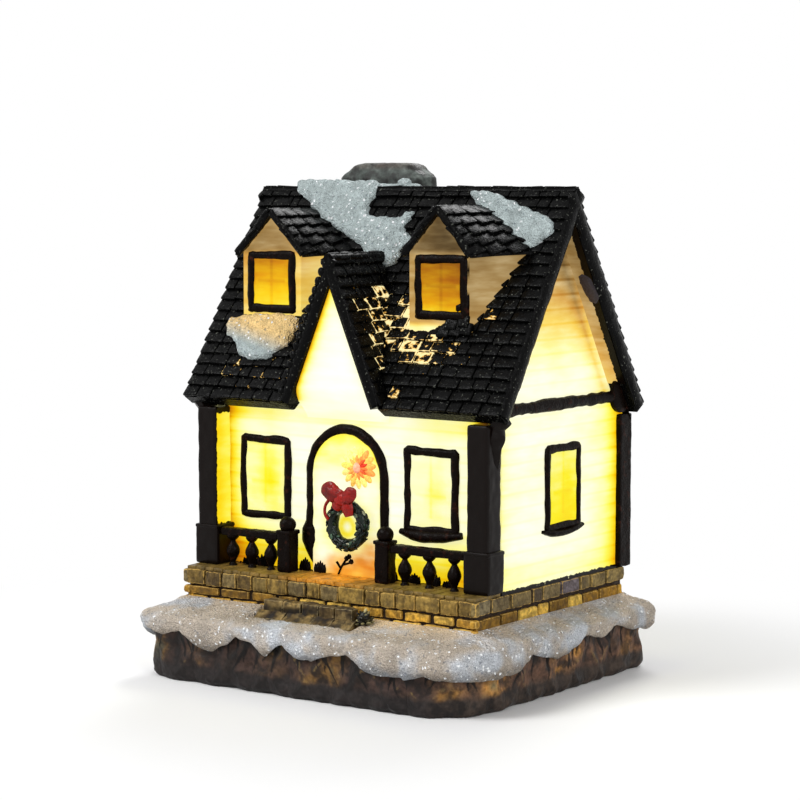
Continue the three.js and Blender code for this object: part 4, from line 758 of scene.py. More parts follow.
def rock_finish():
    return made("polyresin_rock", washed_stone, "#8c7444", "#151110", 0.45, 0.6, 0.45)


def plain_lit_finish():
    return made("polyresin_lit_plain", lit_resin, seed=3.0)


def pane_finish():
    return made("polyresin_lit_pane", lit_resin, glow=0.75, seed=9.0)


def leaf_finish():
    return made("acrylic_leaves", tinted_paint, 0.25)


# Shapes that several pieces share


def base_outline(count):
    """A rounded rectangle walked in even steps: places, outward directions and distances along it."""
    w, d = BASE_WIDTH / 2, BASE_DEPTH / 2
    radius = np.array([9.0, 3.5, 3.5, 5.0])
    centre = np.array([(w, -d), (w, d), (-w, d), (-w, -d)]) * (1 - radius[:, None] / np.array([w, d]))
    angle = np.radians(np.array([-90, 0, 90, 180])[:, None] + np.linspace(0, 90, 33))
    loop = (centre[:, None] + radius[:, None, None] * np.stack([np.cos(angle), np.sin(angle)], -1)).reshape(-1, 2)
    loop = np.concatenate([loop, loop[:1]])
    run = walked(loop)
    at = np.linspace(0, run[-1], count, endpoint=False)
    place = np.stack([np.interp(at, run, loop[:, k]) for k in (0, 1)], 1)
    return place, beside(place), at


def onto_rectangle(place, x0, x1, y0, y1):
    """Points moved straight towards the rectangle's middle until they lie on its edge."""
    middle = np.array([(x0 + x1) / 2, (y0 + y1) / 2])
    half = np.array([(x1 - x0) / 2, (y1 - y0) / 2])
    ray = place - middle
    return middle + ray / np.max(np.abs(ray) / half, axis=1, keepdims=True)


def gable_half(z):
    """Half width of the front gable's outer triangle at a height."""
    return (GABLE_PEAK - z) / GABLE_PITCH


def shingle_rows(face, long, row, rise, low, high, width, seed, keep=None):
    """Rows of shingles on a plane: each a thin block with round edges, tipped so that its lower edge
    stands up. Widths, places, tilts and heights vary, and keep(across, down, half width) leaves some out."""
    rng = np.random.default_rng(seed)
    count = int(round(long / row))
    row = long / count
    pieces = int((high - low) / width) + 1
    laid = []
    for k in range(count):
        cut = np.linspace(0, 1, pieces + 1)
        cut[1:-1] += rng.uniform(-0.32, 0.32, pieces - 1) / pieces
        laid.append(xyz(*spans(low + (high - low) * cut, 0.07), (k + 0.5) * row))
    middle, half, down_to = np.concatenate(laid).T
    if keep is not None:
        kept = keep(middle, down_to, half)
        middle, half, down_to = middle[kept], half[kept], down_to[kept]
    n = len(middle)
    tip = np.arctan2(rise, row) + rng.uniform(-0.05, 0.05, n)
    skew = rng.uniform(-0.06, 0.06, n)
    across = unit(face[1] + skew[:, None] * face[2])
    down = np.cos(tip)[:, None] * face[2] + np.sin(tip)[:, None] * face[3]
    out = np.cross(across, down)
    out *= np.sign(out @ face[3])[:, None]
    down = np.cross(out, across)
    centres = on(face, middle, down_to + rng.uniform(-0.08, 0.08, n), rise * 0.5 - 0.28 + rng.uniform(-0.05, 0.05, n))
    return centres, xyz(half, row * 0.55, 0.24), np.stack([across, down, out], 1)


class Piece(bpy.types.Operator):
    """Shared settings of the operators that make one piece or one group of like pieces"""

    bl_options = {"REGISTER", "UNDO"}


class HOUSE_OT_rock_base(Piece):
    """The rock under the snow: an uneven wall round the base, with the recess for the light"""

    bl_idname = "house.rock_base"
    bl_label = "Rock base"

    def execute(self, context):
        place, out, run = base_outline(1300)
        z = ROCK_TOP * np.linspace(0, 1, 40)[:, None] + 0 * run
        # Chiselled facets: the lower of two slanting triangle waves, pitch about 6 mm
        fold = lambda t: np.abs((t % 1) * 2 - 1)
        facet = np.minimum(fold(run / 6.4 + z / 9), fold(run / 7.3 - z / 8 + 0.3))
        flat = xyz(*place.T, z)
        outset = -0.75 * np.clip(1 - z / 0.9, 0, 1) ** 1.5 - 0.75 * facet + 0.32 * rough(flat, 2.6)
        side = flat + outset[..., None] * xyz(*out.T, 0)
        recess = [
            xyz(*onto_rectangle(place, -x, x, UNIT_Y0, UNIT_Y1).T, height)
            for x, height in ((UNIT_X, ROCK_TOP), (UNIT_X, PLATE_TOP), (PLATE_X, PLATE_TOP), (PLATE_X, 0))
        ]
        rings = np.concatenate([side, np.stack(recess)])
        x, low = rings[..., 0], rings[..., 2]
        tint = ramp(
            rough(rings, 3.5, 4.0),
            [(-0.6, "#261e1a"), (-0.15, "#40302a"), (0.15, "#523e2e"), (0.35, "#78582e"), (0.6, "#4c4636")],
        )
        tint = mixed(tint, np.array(colours().slate[:3]), fade(low + 0.5 * rough(rings, 1.8, 2.0), 3.4, 2.2))
        # The right side is painted lighter and more golden: painted light, where the facets catch a golden light
        tint = 1.05 * tint * (1 + np.array([1.7, 1.45, 1.0]) * fade(x, 20, 28)[..., None])
        # Brush strokes hang from the snow: slanted spikes, each thinning out at its own depth
        rng = np.random.default_rng(17)
        spikes = np.arange(0, run[-1], 1.6)
        spikes = spikes + rng.uniform(-0.7, 0.7, len(spikes))
        slant, end, wide = (rng.uniform(a, b, len(spikes)) for a, b in ((-0.7, 0.7), (2.4, 5.4), (0.3, 0.8)))
        mark, worn = np.zeros(low.shape), np.zeros(low.shape)
        waver = 0.25 * rough(flat, 1.2, 5.0)
        for s, lean, foot, w in zip(spikes, slant, end, wide):
            reach = w * np.clip((z - foot) / (ROCK_TOP - foot), 1e-3, 1) ** 0.7
            off = np.abs(run + waver - s - lean * (ROCK_TOP - z)) / reach
            mark[:40] = np.maximum(mark[:40], fade(off, 1.1, 0.7) * (z > foot))
        tint = tint * (1 - 0.93 * mark[..., None])
        # Pale gold along the facet ridges, kept off the strokes: a painted highlight where the ridges catch the light
        worn[:40] = 0.7 * fade(facet + 0.3 * rough(flat, 3.0, 8.0), 0.18, 0.0) * fade(z, 1.6, 3.0) * (1 - mark[:40])
        rings, tint, worn = (np.moveaxis(each, 0, 1) for each in (rings, tint, worn))
        part = band(rings, tint=tint.reshape(-1, 3), cover=worn.ravel())
        make_piece("rock_base", [part], rock_finish(), ["base_rock"], smooth=50)
        return {"FINISHED"}


class HOUSE_OT_base_snow(Piece):
    """Snow lying round the plinth, whose outer side hangs over the rock in drips"""

    bl_idname = "house.base_snow"
    bl_label = "Base snow"

    def execute(self, context):
        place, out, run = base_outline(900)
        # Height of the snow's lower edge by the distance along the front and the right side
        seen = np.array([
            (0, 5.9), (3, 6.6), (4.6, 5.8), (8, 5.6), (11, 5.7), (13.5, 5.4), (16.8, 5.3), (19, 6.6), (21.1, 7.7),
            (24, 6.9), (28, 6.2), (33, 7.2), (34.4, 8.0), (36, 7.9), (39.3, 7.2), (43.8, 8.05), (46, 7.8), (48.6, 7.2),
            (53, 6.8), (158, 8.0), (161, 7.4), (164.2, 8.0), (167, 6.6), (169.2, 5.5), (172, 6.9), (174.8, 8.05),
            (177.4, 7.6), (179.7, 6.5), (181.5, 7.6), (182.8, 8.0), (185, 7.0), (187.7, 6.4), (189.6, 7.3),
            (191.5, 7.6), (193.9, 7.7), (196.5, 6.6), (199.7, 5.9), (203.4, 5.9),
        ])
        # Where the photo shows nothing, an even rhythm of drips
        swing = 6.5 - 1.1 * np.sin(2 * np.pi * run / 6.6) * (0.7 + 0.3 * np.sin(run / 5.1))
        hidden = fade(run, 53, 57) * fade(run, 158, 154)
        tip = np.interp(run, *seen.T) * (1 - hidden) + swing * hidden
        # Lobes are round and the notches between them narrow
        tip = 5.2 + 3.1 * np.clip((tip - 5.2) / 3.1, 0, 1) ** 1.9
        tip = tip + 0.22 * grain(np.stack([run, run * 0], 1), 1.3)
        proud = np.abs(out[:, 0]) * 1.45 + np.abs(out[:, 1]) * 1.05
        wall = onto_rectangle(place, -HOUSE_SIDE - 0.2, HOUSE_SIDE + 0.2, PLINTH_FRONT_Y - 0.2, REAR_WALL_Y + 0.2)
        wall = 0.5 * wall + 0.5 * np.clip(place, [-HOUSE_SIDE, PLINTH_FRONT_Y], [HOUSE_SIDE, REAR_WALL_Y])
        at = lambda outset, z: xyz(*(place + (outset + 0 * run)[:, None] * out).T, z)
        inwards = lambda share, z: xyz(*(place * (1 - share) + wall * share).T, z)
        knots = np.stack([
            inwards(1, ROCK_TOP + 0.05), at(0.02, ROCK_TOP + 0.05), at(0.04, (ROCK_TOP + tip) / 2), at(0.12, tip + 0.1),
            at(0.5 * proud, tip - 0.1), at(0.9 * proud, tip + 0.45), at(proud, tip + 1.1),
            at(proud, (tip + 9.6) / 2 + 0.3), at(0.72 * proud, 9.25), at(0.1, 9.75), inwards(0.35, 10.15),
            inwards(0.7, 10.6), inwards(1, 11.05),
        ])
        count = 74
        rings = curve(knots, count)
        row = np.arange(count)[:, None]
        x, y, z = np.moveaxis(rings, -1, 0)
        upper, high, inner = fade(row, 16, 24), fade(row, 46, 56), 1 - fade(row, 66, 73)
        lumps = 0.36 * rough(rings, 2.8) + 0.17 * grain(rings, 0.6, 3.0)
        rings = rings + (lumps * upper * inner * (1 - high))[..., None] * xyz(*out.T, 0)
        level = np.where(upper > 0.5, z + lumps * high * inner * 0.9, z)
        # The steps stand in a hollow
        hollow = fade(x, -11.0, -9.7) * fade(x, 8.4, 7.1) * fade(y, -22.6, -21.4) * (y < 0)
        level = np.where(z > 9, level * (1 - hollow) + np.minimum(level, 9.1) * hollow, level)
        rings[..., 2] = level
        x, y = rings[..., 0], rings[..., 1]
        # Painted glow: snow near the lit walls, most along the front right of the door, takes their warm light
        near = np.maximum(np.abs(x) - HOUSE_SIDE, PLINTH_FRONT_Y - y)
        warm = np.exp(-np.clip(near, 0, None) / 2.2) * (level > 9)
        warm = np.minimum(warm * (bell(x - 10, 12) * (y < -18) + 0.4), 1)
        tint = mixed(*(np.array(c[:3]) for c in (colours().snow_base, colours().snow_warm)), warm)
        # Thick snow is bluer, and thin snow lets the brown of the rock through
        tint = mixed(tint, tone("#c0c4ca"), fade(rough(rings, 4.0, 2.0), -0.1, 0.4) * (1 - warm))
        tint = tint * (1 + 0.26 * rough(rings, 2.6, 9.0))[..., None]
        # Its hanging edge is darker towards the bottom, and its rounded top is painted lighter, a painted highlight
        # where it catches the light
        edge = fade(level + 0.5 * rough(rings, 1.4, 6.0), 7.6, 5.6)
        crown = fade(level + 0.7 * rough(rings, 3.0, 1.0), 8.0, 9.8)
        part = band(rings, tint=(tint * (1 - 0.45 * edge + 0.06 * crown)[..., None]).reshape(-1, 3))
        make_piece("base_snow_drifts", [part], snow_finish(), ["base_snow"], smooth=70)
        return {"FINISHED"}


class HOUSE_OT_brick_plinth(Piece):
    """Coping and brick courses laid block by block round a set-back mortar core"""

    bl_idname = "house.brick_plinth"
    bl_label = "Brick plinth"

    def execute(self, context):
        outer = box(-HOUSE_SIDE + 0.35, HOUSE_SIDE - 0.35, PLINTH_FRONT_Y + 0.35, REAR_WALL_Y - 0.35)
        inner = box(-UNIT_X, UNIT_X, UNIT_Y0, UNIT_Y1)
        section = ((outer, ROCK_TOP), (outer, 14.9), (inner, 14.9), (inner, ROCK_TOP))
        parts = [band(np.stack([xyz(*corners.T, z) for corners, z in section], 1), tint=tone("#2a1d10"))]
        long = in_mm("brick_length")
        rng = np.random.default_rng(5)
        gold = [(-1, "#7c5c22"), (-0.3, "#aa7e2c"), (0.3, "#d6a43c"), (1, "#ecc45c")]
        olive = [(-1, "#5e4c2c"), (-0.4, "#7e6634"), (0.2, "#94783a"), (0.7, "#86703e"), (1, "#6e6044")]
        grey = [(-1, "#453a2e"), (-0.4, "#6a5c40"), (0.2, "#8a7648"), (0.7, "#6c6450"), (1, "#6c6270")]
        # Each course's lower and upper edge, how far it stands out, its tones and its bricks' length
        front = [
            (12.85, 15.0, 0.35, olive, 0.72), (11.42, 12.62, 0.1, gold, 1.05), (9.9, 11.2, 0.05, gold, 1.0),
            (8.3, 9.65, 0.05, gold, 1),
        ]
        side = [(12.98, 15.0, 0.3, grey, 1.0), (10.75, 12.45, 0.1, gold, 0.95), (8.5, 10.2, 0.05, gold, 1)]
        walls = [
            (upright(0, PLINTH_FRONT_Y), -HOUSE_SIDE, HOUSE_SIDE, front),
            (upright(HOUSE_SIDE, 0, across=RIGHT[1]), PLINTH_FRONT_Y, REAR_WALL_Y, side),
            (upright(-HOUSE_SIDE, 0, across=LEFT[1]), -REAR_WALL_Y, -PLINTH_FRONT_Y, side),
            (upright(0, REAR_WALL_Y, across=REAR[1]), -HOUSE_SIDE, HOUSE_SIDE, side),
        ]
        for face, low, high, courses in walls:
            for k, (z0, z1, lip, tones, stretch) in enumerate(courses):
                count = int(round((high - low) / (long * stretch)))
                cut = np.linspace(0, 1, count + 1)
                cut[1:-1] += (0.5 * (k % 2) + rng.uniform(-0.22, 0.22, count - 1)) / count
                edge = low + (high - low) * np.clip(cut, 0, 1)
                middle, half = spans(edge, 0.08 if tones is olive else 0.2)
                middle, half = middle[half > 0.3], half[half > 0.3]
                n = len(middle)
                rise = (z0 + z1) / 2 + rng.uniform(-0.06, 0.06, n)
                centres = on(face, middle, rise, lip - 0.6 + rng.uniform(-0.1, 0.04, n))
                mood = rng.uniform(-1, 1, n)
                halves = xyz(half * rng.uniform(0.93, 1.0, n), (z1 - z0) / 2 - 0.02, 0.6)
                bricks = blocks(centres, halves, 0.24, (20, 8, 4), face[1:4], ramp(mood, tones))
                # Upright tool marks about 0.6 mm apart
                points = bricks["points"]
                mark = grain(xyz(points @ face[1], 0.12 * points[:, 2], 0), 0.36, k) * (tones is olive)
                shade = 1 + 0.35 * rough(points, 2.4, 8.0) + 0.35 * mark
                bricks["paint"]["tint"] = bricks["paint"]["tint"] * shade[:, None]
                bricks["points"] = points + 0.16 * mark[:, None] * face[3]
                parts.append(roughened(bricks, 0.19, 1.0, k))
        # Rounded corner stones
        x, y = HOUSE_SIDE - 0.2, PLINTH_FRONT_Y + 0.2
        for z, tall, tones in ((13.95, 1.0, grey), (12.0, 0.6, gold), (10.5, 0.65, gold)):
            tint = ramp(np.array([0.1, -0.3]), tones)
            stones = blocks([(x, y, z), (-x, y, z)], (0.6, 0.6, tall), 0.4, (8, 8, 8), tint=tint)
            parts.append(roughened(stones, 0.12, 1.0, 9))
        finish = made("polyresin_brick", washed_stone, "#d0a858", "#2a1e12", 0.75, 0.4, 0.6, 0.55)
        make_piece("brick_courses", parts, finish, ["brick_plinth"])
        return {"FINISHED"}


class HOUSE_OT_porch_floor(Piece):
    """Floor boards of the porch, lit through from below near the door"""

    bl_idname = "house.porch_floor"
    bl_label = "Porch floor"

    def execute(self, context):
        count = int(round(2 * HOUSE_SIDE / in_mm("porch_board")))
        x = (np.arange(count) + 0.5) / count * 2 * HOUSE_SIDE - HOUSE_SIDE
        rng = np.random.default_rng(3)
        centres = xyz(x, -14.55, 15.22 + rng.uniform(-0.03, 0.03, count))
        light = 0.1 + 0.75 * bell(x - DOOR_X, 7.5) + rng.uniform(-0.06, 0.06, count)
        tint = ramp(light, [(0, "#544522"), (0.35, "#7a5f2a"), (0.7, "#a8701e"), (1, "#e09224")])
        part = blocks(centres, (HOUSE_SIDE / count - 0.06, 3.1, 0.26), 0.12, (7, 16, 4), tint=tint)
        part["paint"]["tint"] = part["paint"]["tint"] * (1 + 0.8 * rough(part["points"], 1.1))[:, None]
        finish = made("polyresin_porch_boards", tinted_paint, 0.4, glow=0.25)
        make_piece("porch_boards", [roughened(part, 0.13, 0.7)], finish, ["porch_floor"])
        return {"FINISHED"}


class HOUSE_OT_front_steps(Piece):
    """Two rough stone treads"""

    bl_idname = "house.front_steps"
    bl_label = "Front steps"

    def execute(self, context):
        # Cuts between the stones of a tread, its front, and the heights of its foot and top
        treads = [
            ((-9.2, -5.6, -2.4, 0.7, 3.4, 6.6), -20.15, 9.2, 12.45), ((-9.9, -4.8, 0.4, 3.6, 7.2), -21.6, 8.4, 10.0),
        ]
        parts = []
        for k, (cuts, front, foot, top) in enumerate(treads):
            middle, half = spans(np.array(cuts), 0.05)
            deep, tall = (-18.25 - front) / 2, (top - foot) / 2
            stone = blocks(xyz(middle, front + deep, (foot + top) / 2), xyz(half, deep, tall), 0.3, (26, 16, 14))
            points = stone["points"]
            # The lower tread slants up to the riser behind it
            back = np.clip((points[:, 1] - front) / 1.4, 0, 1)
            points[:, 2] += k * 0.95 * back * fade(points[:, 2], foot, top)
            streak = grain(points * [0.25, 1, 1], 0.5, 3.0)
            # The upper riser's left end lies in the shade
            shade = 1 - 0.75 * (k == 0) * fade(points[:, 0], 0.5, -3.0) * fade(points[:, 2], 12.0, 11.3)
            tones = [(-0.6, "#2b2116"), (-0.1, "#5e4c2e"), (0.3, "#8c764a"), (0.7, "#a8884c")]
            stone["paint"]["tint"] = ramp(rough(points, 1.8, k * 5) + 0.35 * streak, tones) * shade[:, None]
            parts.append(roughened(stone, 0.3, 1.3, k))
        finish = made("polyresin_step_stone", washed_stone, "#9a8a66", "#15110e", 0.55, 0.5, 0.6)
        make_piece("front_treads", parts, finish, ["front_steps"])
        return {"FINISHED"}


def wall_sheet(face, outline, out, thickness, step, shade, tones=LIT, cover=None):
    """A wall of lit resin over an outline on a plane, in the tones of a brightness from 0 to 1."""
    places, depth, quads = patch(outline, step)
    bright = shade(*places.T) + 0.03 * rough(on(face, *places.T, out), 5.0)
    cover = np.zeros(len(places)) if cover is None else cover(places, depth)
    return slab(face, places, out, out - thickness, quads, tint=ramp(bright, tones), cover=cover)


def front_shade(x, z):
    """The front wall is near white, yellow beside the posts and low down behind the railings."""
    low = 0.48 * fade(z, 24.5, 15.5) * fade(np.abs(x - DOOR_X), 5.0, 6.4)
    streak = (0.12 * grain(xyz(x / 7, z, 0), 1.4) - 0.12 * bell(z - 37.6, 1.3)) * fade(z, 33, 38)
    halo = 0.1 * np.exp(-np.abs(np.abs(x) - 14.6) / 5) * fade(z, 18, 24)
    posts = 0.5 * np.exp(-(x + 22.2) / 2.2) + 0.42 * np.exp(-(22.0 - x) / 1.5)
    return 0.96 - posts - low - halo + streak - 0.12 * fade(z, 38, 42)


def side_shade(y, z):
    """The side walls are near white and turn amber towards the rear corner."""
    streak = 0.05 * grain(xyz(y / 8, z, 0), 1.5)
    rear = 0.48 * np.exp(-np.abs(19.8 - y) / 2.8) + 0.1 * fade(y, 8, 20)
    return 0.92 - rear + streak - 0.12 * np.exp(-np.abs(y - FRONT_WALL_Y) / 1.5) - 0.1 * fade(z, 21, 15)


def gable_shade(y, z):
    """A side gable fades from near white over the beam to tan at its top."""
    rise = np.interp(z, [40, 44, 47, 51, 56, 61, 66], [1.0, 0.97, 0.9, 0.79, 0.57, 0.37, 0.28])
    rear = RIDGE_Y + (RIDGE_Z - z) / REAR_PITCH - 4.6
    return rise - 0.2 * np.exp(-np.abs(rear - y) / 1.6)


class HOUSE_OT_house_walls(Piece):
    """The four lit walls, with clapboards, a gable at each end and ragged paint at the edges"""

    bl_idname = "house.house_walls"
    bl_label = "House walls"

    def execute(self, context):
        side = HOUSE_SIDE - 0.4
        foot = lambda p: 0.75 * fade(p[:, 1], 15.9, 15.3)
        corner = lambda p: 0.7 * fade(p[:, 0] - 0.25 * (42 - p[:, 1]), -22.6, -24) * (p[:, 1] > 37)
        parts = [
            wall_sheet(
                FRONT, box(-side, side, 15, 42.1), -0.2, 1.8, 0.45, front_shade, cover=lambda p, d: foot(p) + corner(p)
            ),
            wall_sheet(REAR, box(-side, side, 15, 38.4), -0.2, 1.8, 0.6, lambda x, z: 0.86 + 0 * x),
        ]
        y0, y1 = FRONT_WALL_Y, REAR_WALL_Y
        low = np.array([(y0, 15), (y1, 15), (y1, 38.2), (19.6, 40.2), (-11.3, 40.2), (y0, 40.0)])
        gable = np.array([(-11.5, 39.7), (19.9, 39.7), (4.0, 65.6)])
        for face, turn in ((RIGHT, 1), (LEFT, -1)):
            shade = lambda a, b: side_shade(turn * a, b)
            parts.append(wall_sheet(face, low * [turn, 1], -0.2, 2.0, 0.45, shade, cover=lambda p, d: foot(p)))
            shade = lambda a, b: gable_shade(turn * a, b)
            edge = lambda p, d: 0.66 * fade(d, 0.7, 0.1) * (p[:, 1] > 41.5) * (turn * p[:, 0] < 3)
            out = GABLE_SIDE - HOUSE_SIDE - 0.2
            parts.append(wall_sheet(face, gable * [turn, 1], out, 2.0, 0.45, shade, LIT_PALE, edge))
        boards = made("polyresin_lit_boards", lit_resin, in_mm("board_pitch"), 40.95)
        make_piece("lit_walls", parts, boards, ["house_walls"], smooth=60)
        # The lit underside of the roof beyond each gable wall, with paint dragged over its outer edge
        strips = []
        for end in (-1, 1):
            for rake, long in ((FRONT_SLOPE, FRONT_SLOPE_LENGTH - 4), (REAR_SLOPE, REAR_SLOPE_LENGTH - 5)):
                places, _, quads = patch(box(end * (GABLE_SIDE - 0.2), end * (ROOF_SIDE - 0.5), 2.2, long), 0.4)
                reach = np.abs(places[:, 0]) - GABLE_SIDE
                bright = np.interp(places[:, 1], [3, 12, 24, 31], [0.26, 0.36, 0.56, 0.68]) - 0.03 * reach
                tint = ramp(bright + 0.05 * rough(on(rake, *places.T), 3.0), LIT_PALE)
                high, low = 0.1 - ROOF_THICKNESS, -0.12 - ROOF_THICKNESS
                strips.append(slab(rake, places, high, low, quads, tint=tint, cover=0.95 * fade(reach, 1.2, 2.3)))
        make_piece("lit_eave_strips", strips, plain_lit_finish(), smooth=60)
        # A dab of purple-grey paint, where the brush went over the wall's edge
        under = REAR_SLOPE.copy()
        under[0] -= under[3] * (ROOF_THICKNESS + 0.1)
        under[3] *= -1
        dab = stroke(
            under, curve([(25.4, 13.0), (26.1, 14.4), (26.2, 16.2), (25.9, 17.6)], 30), 2.3, 0.25, step=0.25, seed=3,
            ends=[0.4, 0.9, 1.0, 0.95, 0.5], wobble=0.2, tint=tone("#342f38"),
        )
        make_piece("paint_dab", [dab], made("acrylic_dab", tinted_paint, 0.45), smooth=60)
        return {"FINISHED"}


def leak(x, down):
    """How much light leaks through the roof's paint, 0 to 1: over wide places, most beside the front
    gable, and at small spots."""
    hump = lambda a, wide, b, tall: ((x - a) / wide) ** 2 + ((down - b) / tall) ** 2
    wide = np.maximum(np.exp(-hump(5.6, 5.2, 22.8, 4.6) ** 1.5), 0.95 * np.exp(-hump(11.0, 5.5, 26.6, 2.4)))
    faint = 0.5 * np.exp(-hump(-15, 9, 31.5, 3.0)) + 0.35 * np.exp(-hump(17, 8, 29, 2.5))
    spots = [(-22.6, 21.0), (-21.7, 25.3), (9.7, 33.4), (20.5, 20.8), (2.2, 31.2), (13.4, 24.2)]
    return np.maximum(wide, faint), np.minimum(sum(np.exp(-hump(a, 0.7, b, 0.6)) for a, b in spots), 1)


def leaking_shingles(centres, halves, axes, share, spot, seed):
    """Shingles whose paint is thin on the edges, and on a few all over, where the share of light is high."""
    wild = np.random.default_rng(seed).uniform(0, 1, len(centres))
    cover = 0.86 - share * (0.25 + 0.42 * wild**4) - 0.4 * spot
    thin = 0.05 + share * (0.1 + 0.26 * wild)
    return roughened(blocks(centres, halves, 0.16, (6, 6, 4), axes, cover=cover, thin=thin), 0.07, 0.8)


def ridge_roll(along, middle, widths, heights, seed, sides, lengthwise):
    """A bead of paint over a ridge: an ellipse whose half width and half height wander along the ridge,
    each by an amount and in steps of a length."""
    line, angle, along = xyz(along, 0, 0), around(sides), along[:, None]
    radius = lambda at, half, amount, step: (half + amount * grain(at, step))[:, None]
    across = middle[0] + radius(line, *widths) * np.cos(angle)
    up = middle[1] + radius(line + seed, *heights) * np.sin(angle)
    return tube(xyz(across, along, up) if lengthwise else xyz(along, across, up), cover=0.95)


class HOUSE_OT_main_roof(Piece):
    """Both slopes: a deck cut out round the front gable, under rows of separate shingles"""

    bl_idname = "house.main_roof"
    bl_label = "Main roof"

    def execute(self, context):
        fall = -FRONT_SLOPE[2][2]
        half = lambda down: gable_half(RIDGE_Z - down * fall)
        long, rear_long, inset = FRONT_SLOPE_LENGTH, REAR_SLOPE_LENGTH, 1.0
        peak = (RIDGE_Z - GABLE_PEAK) / fall + inset * 2.2
        cut = half(long) - inset
        outline = [
            (-ROOF_SIDE, -0.2), (ROOF_SIDE, -0.2), (ROOF_SIDE, long), (GABLE_X + cut, long), (GABLE_X, peak),
            (GABLE_X - cut, long), (-ROOF_SIDE, long),
        ]
        row, wide, rise = in_mm("shingle_row"), in_mm("shingle_width"), in_mm("shingle_rise")
        keep = lambda x, down, h: np.abs(x - GABLE_X) - 0.3 > half(down)
        parts = []
        for face, long, edge, step, seed, kept in (
            (FRONT_SLOPE, long, outline, 0.7, 11, keep),
            (REAR_SLOPE, rear_long, box(-ROOF_SIDE, ROOF_SIDE, -0.2, rear_long), 0.8, 12, None),
        ):
            places, _, quads = patch(edge, step)
            x, down = places.T
            # Under the ridge each slope's underside starts where it meets the other slope's
            start = ROOF_THICKNESS * abs(face[3][1] / face[2][1])
            below = on(face, x, start + down * (1 - start / long), -ROOF_THICKNESS)
            front = face is FRONT_SLOPE
            cover = 0.9 - 0.45 * leak(x, down)[0] if front else 0.95
            parts.append(sheet(on(face, x, down, -0.42), below, quads, cover=cover))
            centres, halves, axes = shingle_rows(
                face, long, row, rise, -ROOF_SIDE + 0.05, ROOF_SIDE - 0.05, wide, seed, kept
            )
            if front:
                shares = leak(centres[:, 0], (RIDGE_Z - centres[:, 2]) / fall)
                parts.append(leaking_shingles(centres, halves, axes, *shares, 4))
            else:
                parts.append(blocks(centres, halves, 0.16, (4, 4, 4), axes, cover=0.95))
            # The painted verges
            for end, side in ((-1, LEFT), (1, RIGHT)):
                verge = side.copy()
                verge[0] = (end * (ROOF_SIDE - 0.25), 0, 0)
                line = on(face, 0, np.array([0.3, long - 0.3]), -1.35)[:, 1:] * [end, 1]
                parts.append(stroke(verge, line, 2.5, 0.5, step=0.5, seed=end + long, wobble=0.06, cover=0.95))
        x = np.linspace(-ROOF_SIDE, ROOF_SIDE, 160)
        parts.append(ridge_roll(x, (RIDGE_Y, RIDGE_Z - 0.65), (0.75, 0.12, 2.0), (0.5, 0.1, 1.5), 9, 12, False))
        make_piece("shingled_roof", parts, roof_finish(), ["main_roof"])
        return {"FINISHED"}


